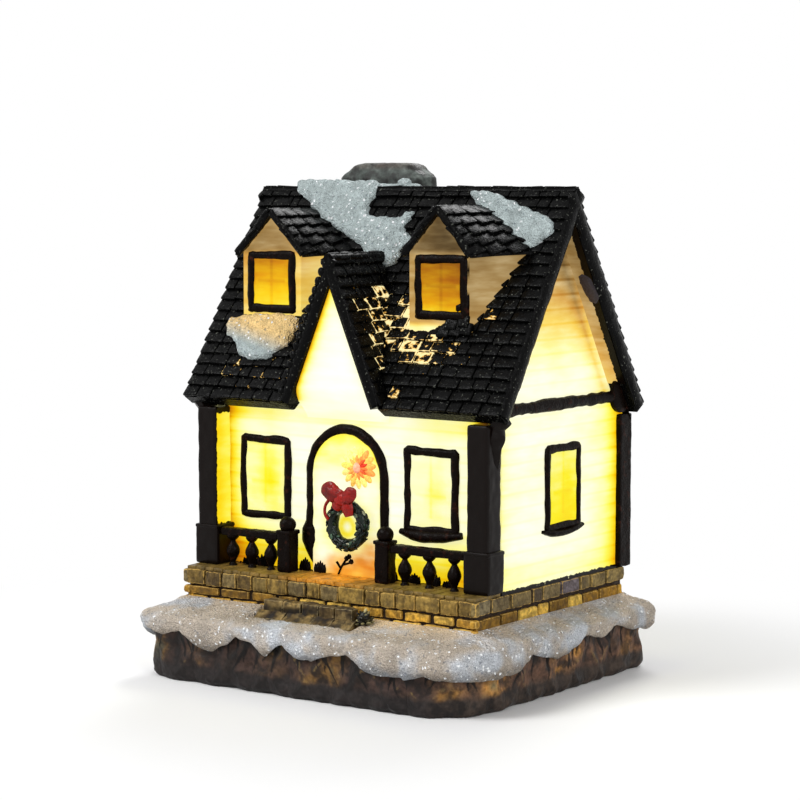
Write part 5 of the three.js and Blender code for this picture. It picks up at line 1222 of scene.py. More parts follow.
class HOUSE_OT_front_gable(Piece):
    """The steep gable over the door: its lit wall and its two shingled slopes"""

    bl_idname = "house.front_gable"
    bl_label = "Front gable"

    def execute(self, context):
        half = lambda z: gable_half(z) - 1.75 * GABLE_UNIT / GABLE_PITCH
        foot = half(40)
        outline = [
            (GABLE_X - foot, 37.6), (GABLE_X + foot, 37.6), (GABLE_X + foot, 40), (GABLE_X, GABLE_PEAK - 1.75 * 2.571),
            (GABLE_X - foot, 40),
        ]
        places, depth, quads = patch(outline, 0.4)
        x, z = places.T
        # The wall's face leans back to the house wall below the eave
        face, out = upright(0, 0), 11.4 + 3.9 * fade(z, 37.0, 42.5)
        top = on(face, x, z, out)
        edge = np.exp(-(x - GABLE_X + half(np.minimum(z, 60))) / 1.3)
        bright = 0.99 - 0.45 * edge * fade(z, 38.5, 41) - 0.2 * np.exp(-depth / 0.6) * (z > 40) + 0.03 * rough(top, 4.0)
        tint = ramp(bright - 0.13 * bell(z - 37.6, 1.3), LIT)
        wall = sheet(top, on(face, x, z, np.minimum(out - 0.5, 12.8) - 0.3), quads, tint=tint, cover=0.0)
        make_piece("gable_front", [wall], plain_lit_finish(), ["front_gable_wall"], smooth=60)
        fall = GABLE_PITCH / GABLE_UNIT
        long = (GABLE_PEAK - 40.4) / fall
        height = lambda down: GABLE_PEAK - down * fall
        keep = lambda y, down, h: y + h < roof_depth(height(down)) + 1.4
        front, start = -15.9, 1.7 * GABLE_PITCH
        parts = []
        for side in (-1, 1):
            rake = gable_slope(side)
            down = np.linspace(0, 1, 46)[None, :] * long
            back = np.minimum(roof_depth(height(down)) + 2.2, 3.0)
            y = front + np.linspace(0, 1, 40)[:, None] * (back - front)
            y, down = y.ravel(), np.broadcast_to(down, y.shape).ravel()
            under = on(rake, y, start + down * (1 - start / long), -1.7)
            parts.append(sheet(on(rake, y, down, -0.3), under, grid_faces(40, 46), cover=0.93))
            rise = in_mm("shingle_rise") * (1.6 if side < 0 else 1.0)
            centres, halves, axes = shingle_rows(rake, long, 1.75, rise, -15.95, 2.0, 2.6, 20 + side, keep)
            lit = np.exp(-(((centres[:, 2] - 50.5) / 6) ** 4)) * (side > 0) * fade(centres[:, 1], -15.0, -11)
            parts.append(leaking_shingles(centres, halves, axes, lit, 0, 50 + side))
            # Thick paint along the slope's front edge
            line = on(rake, 0, np.array([0.4, long - 0.3]), -0.85)[:, [0, 2]]
            parts.append(stroke(
                upright(0, -15.85), line, 1.6, 0.35, step=0.4, seed=side * 3, ends=[1] * 9 + [0.7], cover=0.95
            ))
        # The shingle rows end in round drops of paint along the left slope's front edge
        drops = on(gable_slope(-1), -15.75, np.arange(1.5, long - 1, 1.42), 0.1)
        parts.append(roughened(balls(drops, (0.62, 0.5, 0.66), (6, 6, 6), cover=0.95), 0.08, 0.8))
        y, middle = np.linspace(front, -2.2, 60), (GABLE_X, GABLE_PEAK - 0.85)
        parts.append(ridge_roll(y, middle, (0.75, 0.15, 1.6), (0.75, 0.12, 1.2), 4, 10, True))
        make_piece("gable_shingles", parts, roof_finish(), ["front_gable_roof"])
        return {"FINISHED"}


def dormer_half(d, y):
    """Half width of a dormer at a depth: it widens to the back."""
    return d.half + 0.7 * np.maximum(0, y - d.front)


class HOUSE_OT_dormers(Piece):
    """Both dormers: a lit body that widens to the back, a shingled roof and a painted window"""

    bl_idname = "house.dormers"
    bl_label = "Dormers"

    def execute(self, context):
        for side, d in DORMERS.items():
            face = upright(d.x, d.front)
            self.body(side, d, face)
            self.window(side, d, face)
            self.roof(side, d)
        return {"FINISHED"}

    def body(self, side, d, face):
        """The lit resin of a dormer: a pentagon of straight sides, 12 points each, at every station"""
        count, h = 26, d.half
        y = np.linspace(d.front, roof_depth(0.6 + d.peak), count)
        half = dormer_half(d, y)
        full = lambda z: np.full(count, z)
        corner = np.stack([
            np.stack(pair, 1) for pair in (
                (-half, full(d.foot - 2.6)), (half, full(d.foot - 2.6)), (half, full(d.eave - 0.25)),
                (0 * half, full(d.peak - 0.25)), (-half, full(d.eave - 0.25)),
            )
        ], 1)
        share = np.linspace(0, 1, 12, endpoint=False)[:, None]
        flat = corner[:, :, None] * (1 - share) + np.roll(corner, -1, 1)[:, :, None] * share
        flat = flat.reshape(count, -1, 2)
        rings = xyz(np.clip(d.x + flat[..., 0], -VERGE_X, VERGE_X), y[:, None], flat[..., 1])
        # The body rises out of the roof's slope
        rings[..., 2] = np.maximum(rings[..., 2], roof_height(y)[:, None] - 1.3)
        across = (rings[..., 0] - d.x) * d.inward
        bright = d.lit - 0.012 * (rings[..., 2] - 56) + 0.05 * rough(rings, 4.0)
        bright = bright + (0.014 * np.abs(across) if side == "left" else 0.1 * (across > 0))
        poles = [bright[0].mean(), bright[-1].mean()]
        body = tube(rings, tint=ramp(np.concatenate([bright.ravel(), poles]), LIT_PALE), cover=0.0)
        low, eave = d.foot - 0.4, d.eave - 0.2
        places, depth, quads = patch([(-h, low), (h, low), (h, eave), (0, d.peak - 0.2), (-h, eave)], 0.28)
        x, z = places.T
        top = fade(z, d.eave - 0.6, d.eave + 0.4)
        bright = d.lit + 0.06 - 0.24 * top + 0.03 * (x * d.inward) / h - 0.012 * (z - 57)
        bright = bright + 0.05 * rough(on(face, x, z), 3.0) + 0.12 * np.exp(-depth / 0.35) * top
        cover = 0.55 * fade(depth, 0.3, 0.0) * top
        if side == "right":
            # Lighter at the foot, with roof paint dragged over its right half
            bright = bright + 0.32 * fade(z, 51.9, 50.9)
            limit = 50.5 + 0.45 * np.maximum(0, x + 1.5)
            cover = cover + 0.9 * fade(z, limit + 0.4, limit - 0.4)
        front = slab(face, places, 0.22, -0.1, quads, tint=ramp(bright, LIT_PALE), cover=cover)
        name, node = f"dormer_{side}_body", f"dormer_{side}_walls"
        make_piece(name, [body, front], plain_lit_finish(), [node], smooth=50)

    def window(self, side, d, face):
        """A dormer's pane and its painted frame"""
        cx, foot = d.shift, d.foot + d.sill
        places, depth, quads = patch(box(cx - 3.6, cx + 3.6, foot + 0.6, foot + 8.4), 0.25)
        x, z = places.T
        off = x - cx
        bars = np.maximum(bell(off, 0.22), bell(z - foot - 4.6, 0.22)) * (np.abs(off) < 2.6)
        bright = d.pane - 0.075 * (z - foot) + 0.06 * off * d.inward / 3.6 - 0.12 * bars
        bright = bright - 0.12 * np.exp(-depth / 0.45) + 0.06 * rough(on(face, x, z), 2.0)
        pane = slab(face, places, 0.34, 0.05, quads, tint=ramp(bright, PANE), cover=0.0)
        make_piece(f"dormer_{side}_pane", [pane], pane_finish(), smooth=60)
        w, wide = 3.75, 1.12 * in_mm("line_width")
        loop = [(cx - w, foot + 0.55), (cx + w, foot + 0.55), (cx + w - 0.05, foot + 8.35), (cx - w - 0.1, foot + 8.3)]
        lines = [stroke(face, loop, wide, 0.62, closed=True, seed=len(side), step=0.25)]
        for end in (-1, 1):
            ear = [(cx + end * (w - 0.4), foot + 0.6), (cx + end * (w + 0.75), foot + 0.1)]
            lines.append(stroke(face, ear, wide, 0.5, seed=end, ends=[1, 1, 0.4]))
        if side == "right":
            blot = [(cx + 2.2, foot + 0.7), (cx + 3.6, foot + 2.6)]
            lines.append(stroke(face, blot, 1.7, 0.5, seed=2, ends=[0.4, 1, 0.5]))
        make_piece(f"dormer_{side}_lines", lines, trim_finish(), [f"dormer_{side}_window"], smooth=60)

    def roof(self, side, d):
        """Two slopes from the dormer's ridge down to its eaves: straight lines between a ridge line
        and an eave line that widens to the back, under rows of shingles."""
        parts = []
        rise = in_mm("shingle_rise")
        peak, front = d.peak + 1.1, d.front - 0.8
        reach = lambda y: dormer_half(d, y) + 0.8
        eave = lambda y: d.eave - 0.8 * (d.peak - d.eave) / dormer_half(d, np.maximum(y, d.front)) + 0.55
        rows, columns = 30, 16
        y = np.linspace(front, roof_depth(1.1 + d.peak), rows)[:, None]
        share = np.linspace(0, 1, columns)[None, :]
        low, floor = eave(y), roof_height(y)
        for end in (-1, 1):
            x = np.clip(d.x + end * reach(y) * share, -VERGE_X, VERGE_X)
            top = xyz(x, y, np.maximum(peak + (low - peak) * share - 0.12, floor - 1.3))
            bottom = xyz(x, y, np.maximum(d.peak + (low - 0.55 - d.peak) * share, floor - 2.1))
            parts.append(sheet(top.reshape(-1, 3), bottom.reshape(-1, 3), grid_faces(rows, columns), cover=0.95))
            # Five by five shingles as blocks, whose axes follow the slope under them
            deep = RIDGE_Y - 0.9 - front
            rng = np.random.default_rng(40 + end)
            back, s = np.repeat(np.linspace(0.08, 0.92, 5), 5), np.tile(np.linspace(0.1, 0.92, 5), 5)
            back = front + back * deep + rng.uniform(-0.3, 0.3, 25)
            half, foot = reach(back), eave(back)
            place = xyz(d.x + end * half * s, back, peak + (foot - peak) * s)
            down = xyz(end * half, 0, foot - peak)
            long = np.linalg.norm(down, axis=1)
            down = unit(down)
            along = xyz(end * 0.7 * s, 1, 0)
            along = unit(along - (along * down).sum(1, keepdims=True) * down)
            out = np.cross(along, down)
            out *= np.sign(out[:, 2:3])
            tip = np.arctan2(0.7 * rise, 1.7)
            down = np.cos(tip) * down + np.sin(tip) * out
            out = np.cross(along, down)
            flip = np.sign(out[:, 2:3])
            axes = np.stack([along * flip, down, out * flip], 1)
            halves = xyz(deep / 10 + 0.12, long / 9, 0.2)
            shown = (place[:, 2] > roof_height(back) - 0.6) & (np.abs(place[:, 0]) < VERGE_X - 0.6)
            shingles = blocks(place[shown], halves[shown], 0.14, (5, 5, 4), axes[shown], cover=0.95)
            parts.append(roughened(shingles, 0.1, 0.9))
            # Ragged thick paint along the gable's edge
            line = [(end * 0.2, peak - 0.5), (end * (d.half + 0.7), float(low[0, 0]) - 0.1)]
            face = upright(d.x, d.front - 0.75)
            parts.append(stroke(face, line, 1.15, 0.3, step=0.25, seed=end + d.x, wobble=0.16, cover=0.95))
        if side == "right":
            # Shingles heaped against the dormer's foot, at the window's right
            spots = [
                (14.4, -9.5, 50.5), (16.3, -9.4, 50.7), (18.0, -9.3, 50.9), (15.6, -9.3, 51.5), (17.5, -9.25, 52.0),
            ]
            lean = [(1, 0, 0), (0, -0.34, -0.94), (0, -0.94, 0.34)]
            heap = blocks(spots, (1.0, 0.85, 0.3), 0.2, (8, 7, 4), np.array(lean), cover=0.9, thin=0.1)
            parts.append(roughened(heap, 0.2, 0.9))
        make_piece(f"dormer_{side}_shingles", parts, roof_finish(), [f"dormer_{side}_roof"])


class HOUSE_OT_chimney(Piece):
    """The chimney stub behind the ridge, rough and rounded like broken stone"""

    bl_idname = "house.chimney"
    bl_label = "Chimney"

    def execute(self, context):
        # Height, half width and half depth of the section
        levels = np.array([
            (52.6, 6.3, 2.95), (60, 6.3, 2.95), (69.4, 6.5, 2.95), (70.3, 7.6, 3.2), (71.6, 7.7, 3.2), (72.2, 7.2, 3.0),
            (72.7, 6.4, 2.8), (73.4, 5.6, 2.5), (73.75, 4.7, 2.0), (73.9, 1.0, 0.5),
        ])
        z = np.concatenate([np.linspace(52.6, 70, 30, endpoint=False), np.linspace(70, 73.9, 34)])
        wide, deep = (np.interp(z, levels[:, 0], levels[:, k])[:, None] for k in (1, 2))
        # A superellipse of power 4: nearly square, with round corners
        c, s = np.cos(around(96)), np.sin(around(96))
        size = (np.abs(c) ** 4 + np.abs(s) ** 4) ** -0.25
        y = 12 + deep * size * s
        # The foot follows the rear slope
        part = tube(xyz(-10.4 + wide * size * c, y, np.maximum(z[:, None], np.minimum(rear_height(y) + 0.1, 70))))
        points = part["points"]
        tint = ramp(rough(points, 2.0, 6.0), [(-0.5, "#2c302e"), (0, "#545a56"), (0.35, "#747c77"), (0.6, "#98a09a")])
        part["paint"]["tint"] = mixed(tint, tone("#4c3a32"), 0.5 * fade(points[:, 2], 72.6, 73.4))
        part = roughened(part, 0.22, 1.8, 2.0)
        make_piece("chimney_stone", [part], rock_finish(), ["chimney"], smooth=60)
        return {"FINISHED"}


class HOUSE_OT_posts(Piece):
    """Corner posts, rear corner boards and the beams with their rounded brackets"""

    bl_idname = "house.posts"
    bl_label = "Posts and beams"

    def execute(self, context):
        finish = trim_finish()
        for side, name, face in ((-1, "left", LEFT), (1, "right", RIGHT)):
            x = side * (HOUSE_SIDE - 1.65)
            # The post, the collar at the railing's height and the collar's cap
            parts = [
                blocks((x, POST_Y, 27.0), (1.72, 1.75, 11.5), 0.35, (14, 14, 60)),
                blocks((x, POST_Y, 18.4), (2.1, 2.0, 2.95), 0.35, (16, 16, 22)),
                blocks((x, POST_Y, 21.0), (2.15, 2.05, 0.32), 0.25, (14, 14, 5)),
            ]
            parts = [roughened(part, 0.12, 1.6, side) for part in parts]
            for part in parts:
                # The inner side is left bare, and lit
                px, py, pz = part["points"].T
                bare = fade(-side * (px - x), 1.35, 1.6) * fade(py, -14.9, -14.4)
                part["paint"]["cover"] = 1 - bare * fade(pz, 20.5, 22.5) * fade(pz, 38.3, 36.8)
                part["paint"]["tint"] = ramp(0.5 + 0.1 * fade(py, -14.5, -12), LIT)
            # The post flares out to the eave's end
            line = curve([(side * 26.7, 39.4), (side * 25.3, 38.0), (side * 24.4, 34.5), (side * 24.2, 30.0)], 30)
            parts.append(stroke(
                upright(0, -12.4), line, 2.9, 1.9, seed=side, ends=[0.8, 1.1, 0.8, 0.45], wobble=0.06, cover=1.0
            ))
            make_piece(f"post_{name}", parts, plain_lit_finish(), [f"post_front_{name}"])
            boards = [
                blocks((side * (HOUSE_SIDE + 0.4), 20.4, 26.3), (0.42, 1.6, 11.2), 0.2, (6, 12, 60)),
                blocks((side * (HOUSE_SIDE - 1.0), 21.75, 26.3), (1.7, 0.32, 11.2), 0.2, (12, 6, 60)),
            ]
            parts = [roughened(board, 0.1, 1.5, 3 * side) for board in boards]
            make_piece(f"corner_board_{name}_paint", parts, finish, [f"corner_board_{name}"])
            line = [(side * -11.7, BEAM_Z), (side * 19.9, BEAM_Z)]
            beam = stroke(face, line, 1.75, 0.6, step=0.35, seed=side, wobble=0.07)
            # Radius of the bracket and how far it stands out, ring by ring
            steps = [(2.62, -0.15), (2.66, 0.2), (2.6, 0.45), (2.2, 0.68), (1.2, 0.78), (0.2, 0.8)]
            radius, out = np.array(steps).T[..., None]
            angle = around(40)
            rings = on(face, side * 19.4 + radius * np.cos(angle), BEAM_Z + 0.1 + radius * np.sin(angle) * 0.98, out)
            # Above the rear eave's underside the bracket is cut off
            rings[..., 2] = np.minimum(rings[..., 2], rear_height(rings[..., 1]) - 4.7)
            parts = [beam, roughened(tube(rings), 0.06, 1.2)]
            make_piece(f"gable_beam_{name}_paint", parts, finish, [f"gable_beam_{name}"])
        return {"FINISHED"}


class HOUSE_OT_windows(Piece):
    """Painted outlines round lit panes, with a sagging sill under some"""

    bl_idname = "house.windows"
    bl_label = "Windows"

    def execute(self, context):
        w, h, foot = 4.0, 11.0, 22.4
        # Name, wall, middle, the sill's width of paint and the brightness
        windows = [
            ("front_left", FRONT, -15.45, 0, 0.95), ("front_right", FRONT, 13.75, 1.7, 1.02),
            ("side_right", RIGHT, 3.9, 1.1, 0.86), ("side_left", LEFT, -3.9, 1.1, 0.86),
            ("rear_left", REAR, 12.0, 0, 0.86), ("rear_right", REAR, -12.0, 0, 0.86),
        ]
        yellows = [(0.4, "#f0a810"), (0.6, "#fdd812"), (0.75, "#fff22a"), (0.88, "#fffa86"), (1, "#fffdd0")]
        wide, tall = in_mm("line_width"), in_mm("line_height")
        for k, (name, face, x, sill, level) in enumerate(windows):
            name, at = f"window_{name}", [x, foot]
            loop = np.array([(-w, 0.5), (w, 0.6), (w + 0.05, h + 0.5), (-w, h + 0.6)]) + at
            lines = [stroke(face, loop, wide, tall, closed=True, seed=3.0 * k, step=0.25, wobble=0.13)]
            if sill:
                sag = curve([(-w - 1.2, 0.1), (-w * 0.5, -0.35), (w * 0.4, -0.3), (w + 1.2, 0.15)], 40) + at + [0, 0.1]
                lines.append(stroke(face, sag, sill, 1.0, seed=k, ends=[0.45, 0.9, 1, 1, 0.9, 0.5], wobble=0.08))
            make_piece(f"{name}_lines", lines, trim_finish(), [name], smooth=60)
            places, depth, quads = patch(box(-w + 0.1, w - 0.1, 0.7, h + 0.4) + at, 0.3)
            a, b = (places - at).T
            bars = np.maximum(bell(a, 0.25) * (b > 2.2), bell(b - 5.4, 0.3) * (np.abs(a) < 2.6))
            core = np.exp(-((a - 0.9) ** 2 / 3.0 + (b - 6.0) ** 2 / 14.0))
            bright = level - (0.2 if k == 0 else 0.1) * core - 0.06 * bars - 0.05 * np.exp(-depth / 0.5)
            bright = bright + 0.05 * rough(on(face, *places.T), 2.2)
            if face is not FRONT:
                bright = bright - 0.15 + 0.018 * b
            pane = slab(face, places, 0.12, -0.3, quads, tint=ramp(bright, yellows), cover=0.0)
            make_piece(f"{name}_pane", [pane], pane_finish(), smooth=60)
        return {"FINISHED"}


def arch(half, top, foot, count=60):
    """An upright line, a half circle and another upright line, from one foot to the other."""
    angle = np.linspace(np.pi, 0, count)
    bow = np.stack([half * np.cos(angle), top - half + half * np.sin(angle)], 1)
    return np.concatenate([[(-half, foot)], bow, [(half, foot)]]) + [DOOR_X, 0]


class HOUSE_OT_front_door(Piece):
    """The arched door: its painted frame, lit panel, flower and the leaf on its left leg"""

    bl_idname = "house.front_door"
    bl_label = "Front door"

    def execute(self, context):
        # The left leg ends in the leaf, above the floor
        line = arch(DOOR_HALF - 0.6, DOOR_TOP - 0.6, 15.6)
        line[0, 1] = 19.5
        leaf = curve([(DOOR_X - 6.3, 24.8), (DOOR_X - 6.7, 20.2), (DOOR_X - 5.9, 16.5)], 30)
        lines = [
            stroke(FRONT, line, 1.45, 0.62, step=0.3, seed=4, wobble=0.12),
            stroke(FRONT, leaf, 2.7, 0.75, seed=8, ends=[0.25, 0.55, 0.95, 1.0, 0.6, 0.1], wobble=0.05),
        ]
        make_piece("door_arch_paint", lines, trim_finish(), ["door_frame"], smooth=60)
        places, depth, quads = patch(arch(DOOR_HALF - 1.2, DOOR_TOP - 1.2, 15.5, 30), 0.3)
        x, z = places.T
        wall = on(FRONT, x, z)
        bright = 0.9 - 0.12 * np.exp(-depth / 0.7) - 0.18 * fade(z, 28.5, 33) + 0.06 * rough(wall, 2.0)
        # A swirl of yellow paint inside the wreath, and a yellow halo round it
        ring = np.hypot(x + 0.5, z - 22.4)
        bright = bright - 0.3 * np.exp(-((ring - 1.1) ** 2) / 0.5) - 0.14 * np.exp(-((ring - 3.6) ** 2) / 1.6)
        # Its foot glows orange: a painted orange glow, mixed over the panel's light
        foot = ramp(0.5 + 0.5 * rough(wall, 2.0), [(0, "#de8210"), (0.5, "#f2a824"), (1, "#ffd850")])
        wash = fade(z - 0.3 * x + 1.2 * rough(wall, 1.6), 21.0, 16.5)
        panel = slab(FRONT, places, 0.36, 0.0, quads, tint=mixed(ramp(bright, LIT), foot, 0.9 * wash), cover=0.0)
        make_piece("door_panel_lit", [panel], plain_lit_finish(), ["door_panel"], smooth=60)
        # Two rounds of flat petals about a pale heart
        count = 30
        angle = 2 * np.pi * (np.arange(count) * 0.5 + 0.3) / (count / 2)
        c, s, inner = np.cos(angle), np.sin(angle), np.arange(count) % 2
        far = 1.85 - 0.85 * inner
        rng = np.random.default_rng(8)
        glow = rng.uniform(0.05, 0.45, count) + inner * rng.uniform(0.2, 0.5, count) + 0.35 * np.clip(c, 0, 1)
        petals = balls(
            xyz(1.6 + far * c, -11.9 - 0.15 * inner, 31 + far * s), xyz(1.2 - 0.35 * inner, 0.3, 0.5 - 0.2 * inner),
            (7, 5, 7), np.stack([xyz(c, 0, s), xyz(0 * c, 1, 0), xyz(-s, 0, c)], 1),
            ramp(glow, [(0, "#f8ee90"), (0.35, "#f6cc5c"), (0.65, "#ee8a40"), (1, "#cc3018")]),
        )
        heart = balls((1.6, -12.2, 31.0), (0.62, 0.5, 0.8), (8, 8, 8), tint=tone("#f0a080"))
        finish = made("acrylic_petals", tinted_paint, 0.4, glow=0.45)
        parts = [roughened(petals, 0.08, 0.7), heart]
        make_piece("door_flower", parts, finish, ["door_rosette"], smooth=60)
        return {"FINISHED"}


class HOUSE_OT_wreath(Piece):
    """The wreath of small leaves and the tied bow over it"""

    bl_idname = "house.wreath"
    bl_label = "Wreath and bow"

    def execute(self, context):
        x, y, z, radius = 0.55, -13.0, 22.8, 2.7
        on_ring = lambda a, b, r: xyz(
            x + (radius + r * np.cos(b)) * np.cos(a), y + r * np.sin(b), z + (radius + r * np.cos(b)) * np.sin(a)
        )
        core = band(on_ring(around(72)[:, None], around(18), 0.8), tint=tone("#0b160f"))
        rng = np.random.default_rng(21)
        n = 170
        a, b = rng.uniform(0, 2 * np.pi, n), rng.uniform(-2.6, 0.5, n)
        spot = on_ring(a, b, 0.84 + rng.uniform(-0.1, 0.14, n))
        along = unit(xyz(-np.sin(a), rng.uniform(-0.5, 0.2, n), np.cos(a)) + rng.uniform(-0.5, 0.5, (n, 3)))
        side = unit(np.cross(along, xyz(np.cos(b) * np.cos(a), np.sin(b), np.cos(b) * np.sin(a))))
        axes = np.stack([along, side, np.cross(side, along)], 1)
        half = in_mm("leaf_length") / 2
        # The palest few leaves are painted glints
        greens = [(0, "#050806"), (0.5, "#0a1610"), (0.82, "#16281c"), (0.92, "#4a6450"), (1, "#c8c0a0")]
        tint = ramp(rng.uniform(0, 1, n), greens)
        leaves = balls(spot, (half, half * 0.5, half * 0.32), (4, 4, 4), axes, tint)
        parts = [roughened(core, 0.2, 0.9), leaves]
        make_piece("wreath_leaves", parts, leaf_finish(), ["wreath_ring"], smooth=60)
        # Each loop of the bow is a puffed lens with a dent at the knot
        x, y, z = 0.75, -14.9, 27.1
        bow, red = [], np.array(colours().ribbon[:3])
        for end, lift, size in ((-1, 0.75, 1.25), (1, 0.2, 1.05)):
            turn = math.radians(end * 22 + 4)
            c, s = math.cos(turn), math.sin(turn)
            centre, axes = (x + end * 0.98 * size, y, z + lift * 0.7), np.array([(c, 0, s), (0, 1, 0), (-s, 0, c)])
            loop = balls(centre, (1.85 * size, 0.5, 1.12 * size), (14, 10, 14), axes)
            p = loop["points"]
            p[:, 2] = z + (p[:, 2] - z) * (0.72 + 0.28 * fade(np.abs(p[:, 0] - x), 0.2, 1.5))
            loop["paint"]["tint"] = mixed(tone("#3c0504"), red, 0.5 + 0.5 * rough(p, 1.3))
            bow.append(roughened(loop, 0.2, 1.1, end))
        knot = balls((x, y + 0.05, z - 0.35), (1.3, 0.55, 1.0), (9, 9, 9), tint=red * 0.8)
        bow.append(roughened(knot, 0.08, 0.8))
        face = upright(x, y + 0.35, z)
        for end, reach in ((-1, 1.8), (1, 2.7)):
            tail = curve([(0, 0), (end * 0.7, -0.9), (end * 1.2, -reach)], 24)
            bow.append(stroke(face, tail, 1.9, 0.6, seed=end, ends=[0.8, 1, 1.1, 0.7], wobble=0.05, tint=red * 0.7))
        loose = curve([(-1.9, -0.2), (-2.9, -1.4), (-3.0, -2.6), (-2.4, -3.4)], 26)
        bow.append(stroke(face, loose, 0.45, 0.3, seed=5, wobble=0.04, tint=red * 0.7))
        finish = made("acrylic_ribbon", tinted_paint, 0.3)
        make_piece("ribbon_bow", bow, finish, ["wreath_bow"], smooth=60)
        return {"FINISHED"}


class HOUSE_OT_railings(Piece):
    """Both railings with vase-shaped balusters, and the newels with their balls"""

    bl_idname = "house.railings"
    bl_label = "Railings"

    def execute(self, context):
        # Radius of a baluster by its share of the height
        profile = [
            (0.7, 0), (0.62, 0.05), (0.42, 0.12), (0.62, 0.24), (1.02, 0.44), (0.92, 0.6), (0.52, 0.76), (0.42, 0.82),
            (0.72, 0.88), (0.95, 0.95), (0.9, 1.02),
        ]
        radius, height = (curve(profile, 46) * [0.95, 4.5]).T[..., None]
        c, s = np.cos(around(20)), np.sin(around(20))
        for name, x0, x1, seed in (("left", -21.4, -10.8, 1), ("right", 9.0, 21.4, 2)):
            rail = blocks(((x0 + x1) / 2, RAIL_Y, 20.45), ((x1 - x0) / 2, 0.85, 0.58), 0.3, (60, 10, 8))
            parts = [roughened(rail, 0.13, 1.3, seed)]
            for k in range(3):
                x = x0 + (k + 0.5) * (x1 - x0) / 3
                baluster = tube(xyz(x + radius * c, RAIL_Y + radius * s, PORCH_Z - 0.05 + height))
                parts.append(roughened(baluster, 0.06, 0.9, k + seed))
            make_piece(f"railing_{name}_turned", parts, trim_finish(), [f"railing_{name}"])
        for name, x in (("left", -9.5), ("right", 7.7)):
            post = blocks((x, RAIL_Y, 18.45), (1.12, 1.12, 2.98), 0.25, (10, 10, 24))
            cap = blocks((x, RAIL_Y, 21.2), (1.3, 1.25, 0.3), 0.2, (10, 10, 5))
            ball = balls((x, RAIL_Y, 22.25), (1.2, 1.15, 1.15), (12, 12, 12))
            parts = [roughened(post, 0.12, 1.2, x), roughened(cap, 0.08, 1.0, x), roughened(ball, 0.08, 1.2, x)]
            make_piece(f"newel_{name}_post", parts, trim_finish(), [f"newel_{name}"])
        return {"FINISHED"}


def over_ridge(x, down, lift):
    """Points over the front slope by their distance down from the ridge. Past the ridge they run on
    level to the rear, and the direction of their height turns smoothly from the slope's to upright."""
    base = on(FRONT_SLOPE, x, np.maximum(down, 0)) + np.maximum(-down, 0)[:, None] * np.array([0, 0.97, -0.24])
    up = mixed(FRONT_SLOPE[3], np.array([0, 0.1, 1.0]), fade(down, 1.2, -0.8))
    return base + lift[:, None] * unit(up)


def snow_patch(name, outline, warm=None):
    """Snow on the front slope: a patch whose thickness rises from its rim like a quarter circle, with
    lumps and grit. Warm is how much the light of the wall below tints it."""
    rim = even(curve(outline, 6 * len(outline), closed=True), 0.4, closed=True)
    rim = rim + 0.28 * np.stack([grain(rim, 0.9), grain(rim + 40, 0.9)], 1)
    places, depth, quads = patch(rim, 0.2)
    x, down = places.T
    flat = xyz(x, down, 0)
    thick = in_mm("snow_depth") * np.sqrt(1 - (1 - np.clip(depth / 1.3, 0, 1)) ** 2)
    thick = thick * (0.85 + 0.35 * rough(flat, 3.0)) + 0.2 * grain(flat, 0.6) * (depth > 0.1) + 0.1
    share = np.zeros(len(x)) if warm is None else warm(x, down)
    tint = mixed(np.array(colours().snow_cool[:3]), tone("#f6cf86"), share)
    tint = tint * (1 + 0.16 * rough(flat, 1.8, 4.0) + 0.16 * grain(flat, 0.6, 7.0))[:, None]
    part = sheet(over_ridge(x, down, thick), over_ridge(x, down, np.full(len(x), -0.1)), quads, tint=tint)
    make_piece(f"{name}_grains", [part], snow_finish(), [name], smooth=70)


